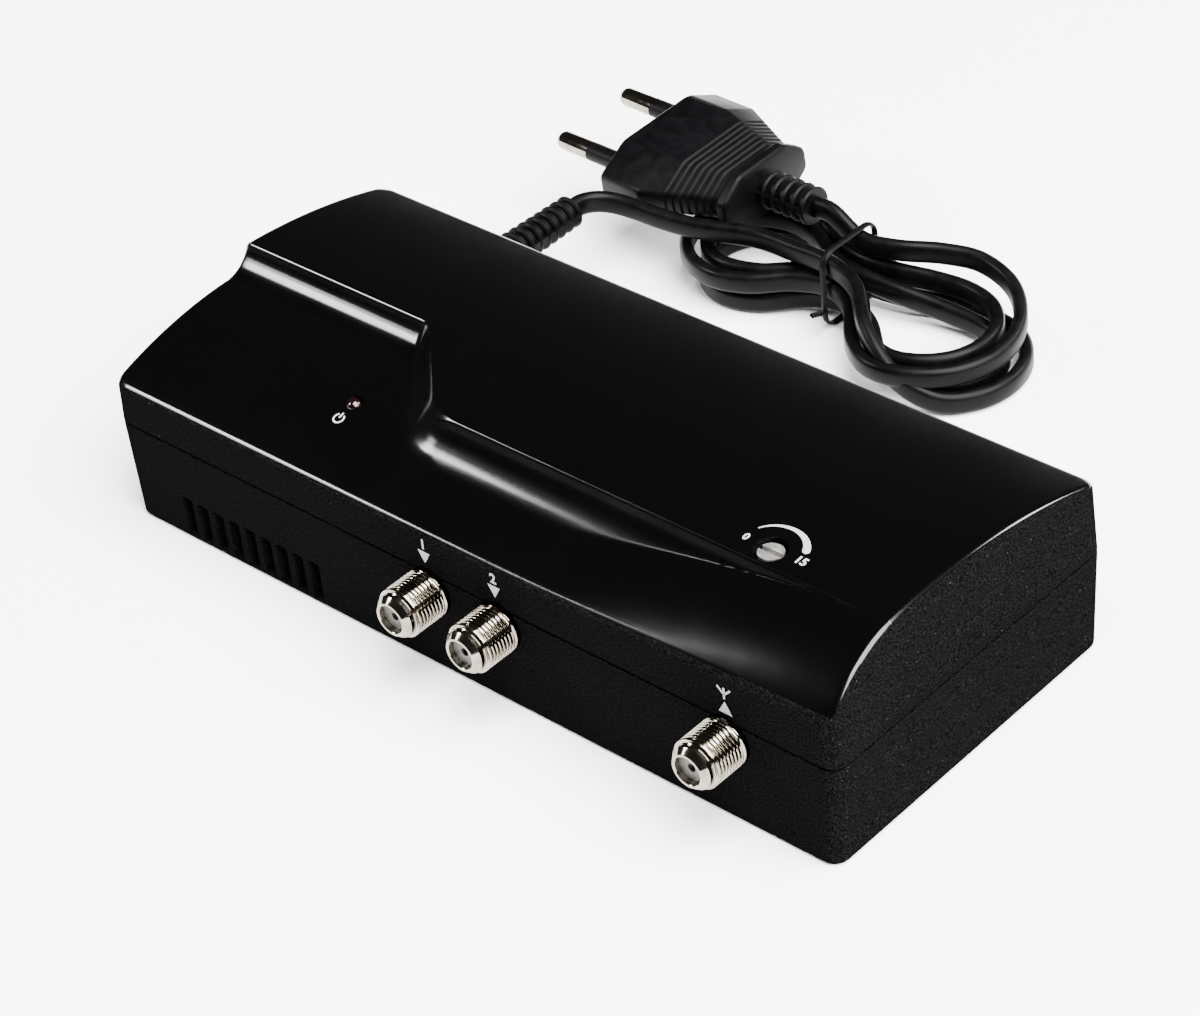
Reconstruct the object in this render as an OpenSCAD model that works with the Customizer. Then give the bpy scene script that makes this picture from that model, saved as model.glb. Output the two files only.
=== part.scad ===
// Mains-powered TV signal amplifier: an arched plastic case with three threaded coaxial
// sockets, a gain adjuster under a hole in the cover and a moulded two-pin lead tied in a hank.
// Millimetres. The origin is on the surface it stands on, under the middle of the case.
// +X runs along the front from the outputs to the antenna socket, the front faces -Y, +Z is up.

/* [Case] */
// Length of the case at its parting line
case_l = 170; // [162:1:190]
// Depth of the case from front to back
case_w = 72; // [70:0.5:84]
// Height of the parting line between tray and cover
base_h = 21; // [20:0.5:23]
// Height of the crown of the cover's arch
crown_h = 40.8; // [39.5:0.1:46]
// How far the lowered panel lies below the crown
panel_drop = 5.1; // [3.5:0.1:5.5]
// Radius of the cover's arch
arch_r = 130; // [115:1:160]
// Radius of the lowered panel's curve
panel_r = 80; // [72:1:100]
// Radius of the rounded shoulder along the front, right of the panel
shoulder_r = 30; // [26:1:34]
// Thickness of the case walls
wall = 2.2; // [1.8:0.1:2.6]
// Thickness of the tray's floor
floor_t = 2.2; // [1.8:0.1:3]
// Radius of the case's upright corners
corner_r = 3; // [2.5:0.5:5]
// How far each end of the tray leans in at the floor
base_lean = 1; // [0.5:0.1:3]
// How far each end of the cover leans in at the crown
cover_lean = 1.3; // [0.5:0.1:3]
// Width and depth of the shadow groove along the parting line
groove = 0.5; // [0.3:0.1:0.8]
// Depth of the cover's lip inside the tray
lip_h = 2.2; // [1.5:0.1:2.8]
// Thickness of the cover's lip
lip_t = 1.1; // [0.8:0.1:1.4]

/* [Lowered panel] */
// Slope of the step round the panel, in degrees
step_slope = 52; // [45:1:65]
// Distance of the step behind the case's middle, over the left part
step_back = 0.4; // [-2:0.2:4]
// Distance of the step before the case's middle, over the right part
step_front = 19.4; // [16:0.1:21]
// Where the step turns forward, from the left end of the case
turn_in = 48.2; // [42:0.2:54]
// Direction of the slanted stretch of the step, in degrees
turn_slant = 43; // [35:1:55]
// Where the rising panel meets the top of the step, right of the middle
fade_x = 60; // [54:1:66]
// Slope of the panel's rise into the shoulder, in degrees
fade_slope = 25; // [21:1:29]
// Direction of the panel's rise, in degrees
fade_slant = 10; // [7:1:14]

/* [Vents] */
// Number of vent slots
vent_count = 9; // [5:1:10]
// Spacing of the vent slots
vent_pitch = 4.15; // [3.9:0.05:4.6]
// Width of a vent slot
vent_slot = 2.8; // [2:0.1:3]
// Height of the vent slots above the floor
vent_h = 9.4; // [7:0.1:11]
// Height of the wall left under the vent slots
vent_sill = 0.8; // [0.6:0.1:1.6]
// Distance of the first slot from the left end of the case
vent_start = 14.8; // [14.4:0.2:22]

/* [Fasteners] */
// Distance of the case screws from the ends of the case
boss_in_x = 8; // [7.5:0.5:9]
// Distance of the case screws from the front and back of the case
boss_in_y = 7.5; // [7:0.5:9]
// Radius of the tray's screw posts
boss_r = 4.4; // [4.2:0.1:4.8]
// Radius of a case screw's shank
screw_r = 1.45; // [1.2:0.05:1.6]
// Radius of a case screw's head
screw_head_r = 2.8; // [2.4:0.1:3]
// Height of a case screw's head
screw_head_h = 2; // [1.5:0.1:2.5]
// Height of the seat of the screw heads in the posts
screw_seat = 11; // [6:0.5:14]
// Thickness of the cover left over the ends of the case screws
screw_cover = 3.2; // [2.8:0.1:8]
// Radius of a board screw's head
board_head_r = 2.4; // [2:0.1:2.6]
// Radius of a board screw's shank
board_screw_r = 1.1; // [0.9:0.05:1.3]

/* [Circuit board] */
// Gap between the board and the ends of the case
board_end_gap = 14; // [13.5:0.5:16]
// Gap between the board and the front of the case
board_front_gap = 7.5; // [7:0.5:9]
// Gap between the board and the back of the case
board_rear_gap = 9.5; // [9:0.5:11]
// Thickness of the board
board_t = 1.6; // [1:0.1:2]
// Radius of the posts under the board
standoff_r = 3; // [2.6:0.1:3.4]

/* [Coaxial sockets] */
// Outer radius of the socket thread, 3/8 inch by 32 turns an inch
thread_r = 4.76; // [4.6:0.01:4.8]
// Pitch of the socket thread
thread_pitch = 0.794; // [0.7:0.002:0.85]
// Number of thread crests
thread_turns = 9; // [8:1:10]
// Depth of the thread
thread_depth = 0.45; // [0.3:0.05:0.55]
// Length of the socket in front of the case
socket_l = 10; // [9.8:0.1:12]
// Outer radius of the socket's nose
nose_r = 3.2; // [3:0.05:3.6]
// Bore radius of the socket
socket_bore_r = 2.7; // [2.4:0.05:2.8]
// Distance of the sockets below the parting line
socket_drop = 3.9; // [3.6:0.1:5]
// Height of the sockets above the board
socket_rise = 7; // [6.4:0.1:7.4]
// Width of the socket's block behind the wall
block_w = 12; // [11:0.5:13]
// Depth of the socket's block behind the wall
block_d = 10; // [9:0.5:10.5]
// Place of output 1 right of the case's middle
output_1_x = -5; // [-8:0.5:-4]
// Place of output 2 right of the case's middle
output_2_x = 11.5; // [10:0.5:14]
// Distance of the antenna socket from the right end of the case
antenna_in = 23; // [22:0.5:25]

/* [Controls] */
// Distance of the gain adjuster from the right end of the case
dial_in = 28.8; // [27:0.2:32]
// Distance of the gain adjuster before the case's middle
dial_front = 15.6; // [13:0.1:16]
// Radius of the gain adjuster's shaft
shaft_r = 2.3; // [2:0.1:2.6]
// Width of the screwdriver slot
driver_slot = 0.9; // [0.6:0.1:1.2]
// Depth of the shaft's end below the cover's surface
shaft_sunk = 0.5; // [0.3:0.1:1]
// Radius of the hole over the gain adjuster
dial_hole_r = 3; // [2.9:0.1:3.5]
// Distance of the lamp from the left end of the case
lamp_in = 48.2; // [44:0.2:54]
// Distance of the lamp before the case's middle
lamp_front = 19.7; // [17:0.1:22]
// Radius of the lamp
lamp_r = 1.5; // [1.4:0.1:2.5]
// How far the lamp stands out of the panel
lamp_proud = 0.8; // [0.4:0.1:1.2]

/* [Power supply] */
// Distance of the transformer from the left end of the case
trans_in = 42; // [41:0.5:44]
// Distance of the transformer behind the case's middle
trans_back = 9; // [8:0.5:9]
// Width of the transformer's core
core_w = 38; // [34:1:38]
// Room between the transformer's strap and the cover
strap_room = 2.7; // [1.5:0.1:6]
// Thickness of the core's stack
core_d = 16; // [12:1:16]
// Width of the core's middle leg
leg_w = 12; // [10:1:13]
// Width of the core's outer legs and yokes
yoke_w = 6; // [5:0.5:6]
// Radius of the filter capacitor
cap_r = 5; // [4:0.5:5.5]
// Height of the filter capacitor
cap_h = 20; // [12:1:22]

/* [Lead] */
// Distance of the strain relief from the left end of the case
relief_in = 18; // [17.8:0.1:20]
// Distance of the strain relief's axis below the parting line
relief_drop = 4.2; // [3:0.1:9]
// Length of the strain relief behind the case
relief_l = 32.5; // [28:0.5:40]
// Radius of the strain relief's first fin
fin_r = 4; // [3.8:0.1:4.4]
// Number of fins on the strain relief
fin_count = 13; // [8:1:15]
// Width of the flat cord
cord_w = 4.6; // [4.2:0.1:5]
// Thickness of the flat cord
cord_t = 2.8; // [2.5:0.1:3]
// Turns of cord in the hank, from the tie to the tie
hank_turns = 3.5; // [3.5:1:3.5]
// Radius of the plug's pins
pin_r = 2; // [1.9:0.05:2.4]
// Length of the plug's pins
pin_l = 19; // [17:0.5:20]
// Spacing of the plug's pins
pin_gap = 18.6; // [17:0.2:19]
// Width of the plug's face
plug_w = 34.6; // [33:0.1:36]
// Thickness of the plug's face
plug_t = 13.1; // [13:0.1:14]
// Length of the plug's body
plug_l = 30; // [30:0.5:40]

/* [Hidden] */
$fn = 64;

// Clearance of a part that slips into another
slip = 0.2;
// Clearance of a screw in its thread
screw_fit = 0.1;
// Clearance of the gain adjuster's shaft in its bush
shaft_fit = 0.15;
// Small overlap that makes cuts run through
cut = 1;
// Edge of the blocks that stand for half of space
far = 600;

front_y = -case_w / 2;
rear_y = case_w / 2;
left_x = -case_l / 2;
right_x = case_l / 2;

// Crowns of the arch and of the lowered panel lie a little before the middle
arch_y = -5.5;
panel_y = -4.5;
panel_h = crown_h - panel_drop;
// Where the front shoulder leaves the arch, and how far above it the two curves start
shoulder_y = -15.5;
shoulder_lift = 0.4;

socket_z = base_h - socket_drop;
board_top = socket_z - socket_rise;
board_z = board_top - board_t;
board_x0 = left_x + board_end_gap;
board_x1 = right_x - board_end_gap;
board_y0 = front_y + board_front_gap;
board_y1 = rear_y - board_rear_gap;
// Screw holes of the board, from its ends and from its front and back edges
board_hole_x = 5;
board_hole_front = 16;
board_hole_rear = 10;

// Gap between the inside of the front wall and the socket blocks
block_gap = 0.3;
antenna_x = right_x - antenna_in;
dial_x = right_x - dial_in;
dial_y = -dial_front;
lamp_x = left_x + lamp_in;
lamp_y = -lamp_front;
trans_x = left_x + trans_in;
relief_x = left_x + relief_in;
relief_z = base_h - relief_drop;

// Heights of the cover's outer surface
function circle_z(y, crown_y, crown_z, r) = crown_z - r + sqrt(r * r - (y - crown_y) * (y - crown_y));
function arch_z(y) = circle_z(y, arch_y, crown_h, arch_r);
function panel_z(y) = circle_z(y, panel_y, panel_h, panel_r);

// Ends of the case screws in the cover, and the room over them
screw_tip = panel_z(front_y + boss_in_y) - screw_cover;
tip_room = 0.6;

module rounded_rect(l, w, r) {
    square([l - 2 * r, w], center = true);
    square([l, w - 2 * r], center = true);
    for (sx = [-1, 1], sy = [-1, 1])
        translate([sx * (l / 2 - r), sy * (w / 2 - r)])
            circle(r);
}

module case_outline(inset) {
    rounded_rect(case_l - 2 * inset, case_w - 2 * inset, max(corner_r - inset, 0.6));
}

// Prism across the case whose ends lean from half length x0 at z0 to x1 at z1
module leaning_ends(x0, z0, x1, z1) {
    rotate([90, 0, 0])
        linear_extrude(far, center = true)
            polygon([[-x0, z0], [x0, z0], [x1, z1], [-x1, z1]]);
}

// Half of space behind a face that leans back as it rises
module behind_step(p, slope, slant, inset) {
    translate(p)
        rotate([0, 0, -slant])
            rotate([slope - 90, 0, 0])
                translate([-far / 2, inset, -far / 2])
                    cube(far);
}

module plateau(inset) {
    behind_step([0, step_back, arch_z(step_back)], step_slope, 0, inset);
    intersection() {
        behind_step([left_x + turn_in, step_back, arch_z(step_back)], step_slope, turn_slant, inset);
        union() {
            behind_step([0, -step_front, arch_z(-step_front)], step_slope, 0, inset);
            behind_step([fade_x, -step_front, arch_z(-step_front)], fade_slope, fade_slant, inset);
        }
    }
}

module lying_cylinder(y, z, r) {
    translate([0, y, z])
        rotate([0, 90, 0])
            cylinder(r = r, h = far, center = true, $fn = 360);
}

module shoulder(inset) {
    tilt = asin((shoulder_y - arch_y) / arch_r);
    reach = arch_r - shoulder_r + shoulder_lift;
    lying_cylinder(arch_y + reach * sin(tilt), crown_h - arch_r + reach * cos(tilt), shoulder_r - inset);
    translate([-far / 2, shoulder_y, -far / 2])
        cube(far);
}

// The cover as a solid, moved in by inset and starting at height bottom
module cover_form(inset, bottom) {
    slope = cover_lean / (crown_h - base_h);
    intersection() {
        translate([0, 0, bottom])
            linear_extrude(crown_h)
                case_outline(inset);
        leaning_ends(right_x - inset + slope * (base_h - bottom), bottom,
                     right_x - inset - slope * crown_h, base_h + crown_h);
        union() {
            lying_cylinder(panel_y, panel_h - panel_r, panel_r - inset);
            intersection() {
                lying_cylinder(arch_y, crown_h - arch_r, arch_r - inset);
                shoulder(inset);
                plateau(inset);
            }
        }
    }
}

// The tray as a solid, moved in by inset and starting at height bottom
module tray_form(inset, bottom, top) {
    slope = base_lean / base_h;
    intersection() {
        translate([0, 0, bottom])
            linear_extrude(top - bottom)
                case_outline(inset);
        leaning_ends(right_x - inset - slope * (base_h - bottom), bottom,
                     right_x - inset - slope * (base_h - top), top);
    }
}

module at_bosses() {
    for (sx = [-1, 1], sy = [-1, 1])
        translate([sx * (right_x - boss_in_x), sy * (rear_y - boss_in_y), 0])
            children();
}

module at_board_holes() {
    for (x = [board_x0 + board_hole_x, board_x1 - board_hole_x])
        for (y = [board_y0 + board_hole_front, board_y1 - board_hole_rear])
            translate([x, y, 0])
                children();
}

// Turns a shape drawn upwards so that it points out of the front wall at a socket
module at_socket(x) {
    translate([x, front_y, socket_z])
        rotate([90, 0, 0])
            children();
}

module at_relief() {
    translate([relief_x, rear_y, relief_z])
        rotate([-90, 0, 0])
            children();
}

// Case

// Holes for the sockets and the strain relief, which lie across the parting line
module wall_openings() {
    for (x = [output_1_x, output_2_x, antenna_x])
        at_socket(x)
            translate([0, 0, -wall - cut])
                cylinder(r = thread_r, h = wall + 2 * cut);
    at_relief()
        translate([0, 0, -wall - cut])
            cylinder(r = relief_neck_r + slip, h = wall + 2 * cut);
}

// One vent slot through the front wall, drawn from its lower left corner
module vent_cut() {
    cube([vent_slot, wall + 2 * cut, vent_h - vent_sill]);
}

module base_tray() {
    color([0.04, 0.04, 0.045])
    difference() {
        union() {
            difference() {
                tray_form(0, 0, base_h);
                tray_form(wall, floor_t, base_h + cut);
            }
            intersection() {
                at_bosses()
                    cylinder(r = boss_r, h = base_h);
                tray_form(wall / 2, 0, base_h);
            }
            at_board_holes()
                cylinder(r = standoff_r, h = board_z);
        }
        translate([0, 0, base_h - groove])
            difference() {
                linear_extrude(2 * groove)
                    square([case_l + 2 * cut, case_w + 2 * cut], center = true);
                translate([0, 0, -cut])
                    linear_extrude(2 * groove + 2 * cut)
                        case_outline(groove);
            }
        at_bosses() {
            translate([0, 0, -cut])
                cylinder(r = screw_head_r + slip, h = screw_seat + cut);
            cylinder(r = screw_r + slip, h = base_h + cut);
        }
        at_board_holes()
            translate([0, 0, floor_t])
                cylinder(r = board_screw_r + screw_fit, h = board_z);
        for (i = [0 : vent_count - 1])
            translate([left_x + vent_start + i * vent_pitch, front_y - cut, vent_sill])
                vent_cut();
        wall_openings();
    }
}

module cover_lip() {
    edge = wall + slip + base_lean * lip_h / base_h;
    translate([0, 0, base_h - lip_h])
        difference() {
            linear_extrude(lip_h + wall)
                case_outline(edge);
            translate([0, 0, -cut])
                linear_extrude(lip_h + wall + 2 * cut)
                    case_outline(edge + lip_t);
        }
}

module top_cover() {
    color([0.03, 0.03, 0.035])
    difference() {
        union() {
            difference() {
                cover_form(0, base_h);
                cover_form(wall, base_h - cut);
            }
            intersection() {
                cover_lip();
                translate([0, 0, base_h - lip_h])
                    linear_extrude(crown_h)
                        case_outline(wall / 2);
            }
            intersection() {
                at_bosses()
                    translate([0, 0, base_h])
                        cylinder(r = boss_r, h = crown_h);
                cover_form(wall / 2, base_h);
            }
        }
        at_bosses() {
            translate([0, 0, base_h - lip_h - cut])
                cylinder(r = boss_r + slip, h = lip_h + cut);
            translate([0, 0, base_h - cut])
                cylinder(r = screw_r + screw_fit, h = screw_tip - base_h + cut + tip_room);
        }
        for (x = [output_1_x, output_2_x, antenna_x])
            translate([x - block_w / 2 - slip, front_y + wall, base_h - lip_h - cut])
                cube([block_w + 2 * slip, block_d, lip_h + cut]);
        translate([
            relief_x - relief_flange_r - slip, rear_y - wall - relief_flange_t - slip, base_h - lip_h - cut
        ])
            cube([2 * (relief_flange_r + slip), relief_flange_t + slip, lip_h + wall + 2 * cut]);
        wall_openings();
        translate([dial_x, dial_y, base_h])
            cylinder(r = dial_hole_r, h = crown_h);
        translate([lamp_x, lamp_y, base_h])
            cylinder(r = lamp_r + slip, h = crown_h);
    }
}

module case_screws() {
    color("silver")
    at_bosses()
        difference() {
            union() {
                translate([0, 0, screw_seat - screw_head_h])
                    cylinder(r = screw_head_r, h = screw_head_h);
                translate([0, 0, screw_seat])
                    cylinder(r = screw_r, h = screw_tip - screw_seat);
            }
            for (a = [0, 90])
                translate([0, 0, screw_seat - screw_head_h])
                    rotate([0, 0, a])
                        cube([1.4 * screw_head_r, 0.3 * screw_head_r, screw_head_h], center = true);
        }
}

// Circuit board and what stands on it

module circuit_board() {
    color([0.62, 0.42, 0.2])
    difference() {
        translate([board_x0, board_y0, board_z])
            cube([board_x1 - board_x0, board_y1 - board_y0, board_t]);
        at_board_holes()
            cylinder(r = board_screw_r + slip, h = board_top + cut);
    }
}

board_head_h = 1.6;

module board_screws() {
    color("silver")
    at_board_holes() {
        translate([0, 0, board_top])
            cylinder(r = board_head_r, h = board_head_h);
        translate([0, 0, floor_t + cut])
            cylinder(r = board_screw_r, h = board_top - floor_t - cut);
    }
}

// Plain length of a socket next to the wall, and the flat crest of each thread turn
thread_start = 0.6;
crest = 0.25 * thread_pitch;
neck_r = thread_r - thread_depth - 0.2;
neck_l = 1.2;
insulator_sunk = 1.2;
pin_hole_r = 0.8;
contact_r = 0.7;
contact_bore_r = 0.4;
contact_back = 1.2;

function thread_profile() = [
    for (i = [0 : thread_turns - 1])
        let (z = thread_start + i * thread_pitch)
            each [
                [thread_r, z],
                [thread_r, z + crest],
                [thread_r - thread_depth, z + (thread_pitch + crest) / 2]
            ]
];

module socket_shell(x) {
    thread_end = thread_start + thread_turns * thread_pitch;
    back = -wall - block_gap;
    color([0.78, 0.76, 0.7])
    at_socket(x)
        difference() {
            union() {
                rotate_extrude()
                    polygon(concat(
                        [[0, back], [thread_r - slip, back], [thread_r - slip, 0], [thread_r, 0]],
                        thread_profile(),
                        [[neck_r, thread_end], [neck_r, thread_end + neck_l]],
                        [[nose_r, socket_l], [0, socket_l]]));
                translate([-block_w / 2, -socket_rise, back - block_d])
                    cube([block_w, socket_rise + socket_drop - block_gap, block_d]);
            }
            translate([0, 0, back - block_d - cut])
                cylinder(r = socket_bore_r, h = block_d + socket_l - back + 2 * cut);
        }
}

module socket_insulator(x) {
    back = -wall - block_gap - block_d;
    color([0.85, 0.85, 0.82])
    at_socket(x)
        difference() {
            translate([0, 0, back])
                cylinder(r = socket_bore_r - slip / 4, h = socket_l - insulator_sunk - back);
            translate([0, 0, back - cut])
                cylinder(r = pin_hole_r, h = socket_l - back + 2 * cut);
        }
}

module socket_contact(x) {
    back = -wall - block_gap - block_d - contact_back;
    color([0.8, 0.65, 0.3])
    at_socket(x) {
        difference() {
            translate([0, 0, back])
                cylinder(r = contact_r, h = socket_l - 2 * insulator_sunk - back, $fn = 32);
            translate([0, 0, 0])
                cylinder(r = contact_bore_r, h = socket_l, $fn = 32);
        }
        translate([0, 0, back + contact_r])
            rotate([90, 0, 0])
                cylinder(r = contact_bore_r, h = socket_rise, $fn = 32);
    }
}

module output_1_shell() {
    socket_shell(output_1_x);
}

module output_1_insulator() {
    socket_insulator(output_1_x);
}

module output_1_contact() {
    socket_contact(output_1_x);
}

module output_2_shell() {
    socket_shell(output_2_x);
}

module output_2_insulator() {
    socket_insulator(output_2_x);
}

module output_2_contact() {
    socket_contact(output_2_x);
}

module antenna_shell() {
    socket_shell(antenna_x);
}

module antenna_insulator() {
    socket_insulator(antenna_x);
}

module antenna_contact() {
    socket_contact(antenna_x);
}

// Screened amplifier stage: its place from the middle of the case and from the board's front edge
can_x = 6;
can_l = 36;
can_front = 13;
can_w = 30;
can_h = 14;
sheet = 0.5;
can_y = board_y0 + can_front;

module shield_can() {
    color("lightgray")
    translate([can_x, can_y, board_top])
        difference() {
            cube([can_l, can_w, can_h]);
            translate([sheet, sheet, -cut])
                cube([can_l - 2 * sheet, can_w - 2 * sheet, can_h + 2 * cut]);
        }
}

module shield_lid() {
    color("silver")
    translate([can_x, can_y, board_top + can_h])
        cube([can_l, can_w, sheet]);
}

chip_l = 5;
chip_w = 4;
chip_h = 2;

module amplifier_transistor() {
    color([0.15, 0.15, 0.15])
    translate([can_x + 0.7 * can_l, can_y + can_w / 2, board_top])
        translate([-chip_l / 2, -chip_w / 2, 0])
            cube([chip_l, chip_w, chip_h]);
}

ferrite_r = 3.5;
ferrite_h = 5;

module splitter_core() {
    color([0.3, 0.3, 0.32])
    translate([can_x + 0.3 * can_l, can_y + can_w / 2, board_top])
        difference() {
            cylinder(r = ferrite_r, h = ferrite_h);
            translate([0, 0, -cut])
                cylinder(r = ferrite_r / 2, h = ferrite_h + 2 * cut);
        }
}

// Gain adjuster: a potentiometer with a captured wiper disc and a long slotted shaft
pot_w = 10;
pot_h = 6.5;
bush_r = 3.6;
bush_h = 7;
wiper_r = 4;
wiper_h = 1.4;
wiper_gap = 0.3;
pot_floor = 2;
shaft_top = arch_z(dial_y) - shaft_sunk;
wiper_z = board_top + pot_floor + wiper_gap;

module gain_control_body() {
    color([0.1, 0.2, 0.45])
    translate([dial_x, dial_y, board_top])
        difference() {
            union() {
                translate([-pot_w / 2, -pot_w / 2, 0])
                    cube([pot_w, pot_w, pot_h]);
                cylinder(r = bush_r, h = pot_h + bush_h);
            }
            translate([0, 0, pot_floor])
                cylinder(r = wiper_r + wiper_gap, h = wiper_h + 2 * wiper_gap);
            translate([0, 0, pot_floor])
                cylinder(r = shaft_r + shaft_fit, h = pot_h + bush_h);
        }
}

module gain_control_rotor() {
    color("gainsboro")
    translate([dial_x, dial_y, 0])
        difference() {
            union() {
                translate([0, 0, wiper_z])
                    cylinder(r = wiper_r, h = wiper_h);
                translate([0, 0, wiper_z])
                    cylinder(r = shaft_r, h = shaft_top - wiper_z);
            }
            translate([0, 0, shaft_top])
                cube([3 * shaft_r, driver_slot, 2 * driver_slot], center = true);
        }
}

// Indicator lamp on a spacer
lamp_flange = 0.45;
lamp_flange_h = 1;
lamp_l = 4.4;
lead_r = 0.3;
lead_gap = 0.65;
lamp_top = panel_z(lamp_y) + lamp_proud;
lamp_seat = lamp_top - lamp_l - lamp_flange_h;

module power_led() {
    color([0.25, 0.02, 0.02])
    translate([lamp_x, lamp_y, 0]) {
        translate([0, 0, lamp_seat])
            cylinder(r = lamp_r + lamp_flange, h = lamp_flange_h);
        translate([0, 0, lamp_seat])
            cylinder(r = lamp_r, h = lamp_top - lamp_seat - lamp_r);
        translate([0, 0, lamp_top - lamp_r])
            sphere(lamp_r);
        for (s = [-1, 1])
            translate([s * lead_gap, 0, board_top])
                cylinder(r = lead_r, h = lamp_seat - board_top, $fn = 24);
    }
}

module led_spacer() {
    color([0.9, 0.9, 0.86])
    translate([lamp_x, lamp_y, board_top])
        difference() {
            cylinder(r = lamp_r + 2 * lamp_flange, h = lamp_seat - board_top);
            translate([0, 0, -cut])
                cylinder(r = lead_gap + lead_r + slip, h = lamp_seat);
        }
}

// Mains transformer: E and I laminations round a bobbin with an upright axis
strap_t = 0.8;
strap_w = 9.6;
core_h = arch_z(trans_back + core_d / 2) - wall - strap_room - strap_t - board_top;
window_w = (core_w - leg_w - 2 * yoke_w) / 2;
window_h = core_h - 2 * yoke_w;
bobbin_gap = 0.3;
bobbin_t = 1;
bobbin_side = window_w - 2 * bobbin_gap;

module at_transformer() {
    translate([trans_x, trans_back, board_top])
        children();
}

module box_ring(inner_l, inner_w, outer_l, outer_w, h) {
    linear_extrude(h)
        difference() {
            square([outer_l, outer_w], center = true);
            square([inner_l, inner_w], center = true);
        }
}

module transformer_core() {
    color([0.35, 0.35, 0.37])
    at_transformer()
        rotate([90, 0, 0])
            linear_extrude(core_d, center = true)
                difference() {
                    translate([-core_w / 2, 0])
                        square([core_w, core_h]);
                    for (s = [-1, 1])
                        translate([s * (leg_w + window_w) / 2 - window_w / 2, yoke_w])
                            square([window_w, window_h]);
                }
}

tube_l = leg_w + 2 * bobbin_gap;
tube_w = core_d + 2 * bobbin_gap;
flange_l = tube_l + 2 * bobbin_side;
flange_w = tube_w + 2 * bobbin_side;

module transformer_bobbin() {
    color([0.85, 0.82, 0.75])
    at_transformer()
        translate([0, 0, yoke_w + bobbin_gap]) {
            high = window_h - 2 * bobbin_gap;
            box_ring(tube_l, tube_w, tube_l + 2 * bobbin_t, tube_w + 2 * bobbin_t, high);
            for (z = [0, high - bobbin_t])
                translate([0, 0, z])
                    box_ring(tube_l, tube_w, flange_l, flange_w, bobbin_t);
        }
}

module transformer_winding() {
    color([0.85, 0.7, 0.2])
    at_transformer()
        translate([0, 0, yoke_w + bobbin_gap + bobbin_t])
            box_ring(tube_l + 2 * bobbin_t, tube_w + 2 * bobbin_t,
                     flange_l - bobbin_t, flange_w - bobbin_t,
                     window_h - 2 * bobbin_gap - 2 * bobbin_t);
}

module transformer_strap() {
    color("silver")
    at_transformer()
        rotate([90, 0, 0])
            linear_extrude(strap_w, center = true)
                difference() {
                    translate([-core_w / 2 - strap_t, 0])
                        square([core_w + 2 * strap_t, core_h + strap_t]);
                    translate([-core_w / 2, -cut])
                        square([core_w, core_h + cut]);
                }
}

// Rectifier and regulator, in a column between the transformer and the screened stage:
// heat sink and regulator at the back, then the capacitors, then the diodes
part_gap = 1;
sink_t = 1.5;
sink_l = 15;
sink_d = 4.5;
sink_h = 18;
reg_w = 10;
reg_t = 4.5;
reg_h = 14;
small_cap_r = 3;
small_cap_h = 11;
diode_r = 1.35;
diode_l = 5.2;
diode_pitch = 3.6;
wire_r = 0.4;
column_x = trans_x + core_w / 2 + strap_t + part_gap + sink_l / 2;
reg_y = board_y1 - sink_d - part_gap;
cap_y = reg_y - reg_t - part_gap - cap_r;
small_cap_y = cap_y - cap_r - part_gap - small_cap_r;
diode_y = small_cap_y - small_cap_r - part_gap - diode_r;

module rectifier_diodes() {
    color([0.12, 0.12, 0.12])
    for (i = [0 : 3])
        translate([column_x, diode_y - i * diode_pitch, board_top + diode_r]) {
            rotate([0, 90, 0])
                cylinder(r = diode_r, h = diode_l, center = true, $fn = 32);
            for (s = [-1, 1]) {
                rotate([0, s * 90, 0])
                    cylinder(r = wire_r, h = diode_l / 2 + diode_r, $fn = 24);
                translate([s * (diode_l / 2 + diode_r - wire_r), 0, -diode_r])
                    cylinder(r = wire_r, h = diode_r, $fn = 24);
            }
        }
}

// Bead pressed in below the top of a capacitor
cap_bead = 1.6;
cap_bead_r = 0.6;

module capacitor(x, y, r, h) {
    color([0.1, 0.12, 0.3])
    translate([x, y, board_top])
        difference() {
            cylinder(r = r, h = h);
            translate([0, 0, h - cap_bead])
                rotate_extrude()
                    translate([r + cap_bead_r / 3, 0])
                        circle(cap_bead_r, $fn = 24);
        }
}

module filter_capacitor() {
    capacitor(column_x, cap_y, cap_r, cap_h);
}

module smoothing_capacitor() {
    capacitor(column_x, small_cap_y, small_cap_r, small_cap_h);
}

module voltage_regulator() {
    color([0.12, 0.12, 0.12])
    translate([column_x - reg_w / 2, reg_y - reg_t, board_top])
        cube([reg_w, reg_t, reg_h]);
}

module regulator_heatsink() {
    color("gainsboro")
    translate([column_x - sink_l / 2, reg_y, board_top])
        difference() {
            cube([sink_l, sink_d, sink_h]);
            translate([sink_t, sink_t, -cut])
                cube([sink_l - 2 * sink_t, sink_d, sink_h + 2 * cut]);
        }
}

// Fuse in clips, near the left end of the board
fuse_r = 2.6;
fuse_l = 20;
fuse_cap = 5;
clip_t = 0.6;
fuse_x = board_x0 + 5;
fuse_y = board_y0 + 7;
fuse_z = board_top + clip_t + fuse_r;

module mains_fuse() {
    color([0.8, 0.85, 0.85])
    translate([fuse_x, fuse_y, fuse_z])
        rotate([0, 90, 0]) {
            cylinder(r = fuse_r, h = fuse_cap);
            cylinder(r = fuse_r - 0.2, h = fuse_l);
            translate([0, 0, fuse_l - fuse_cap])
                cylinder(r = fuse_r, h = fuse_cap);
        }
}

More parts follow.
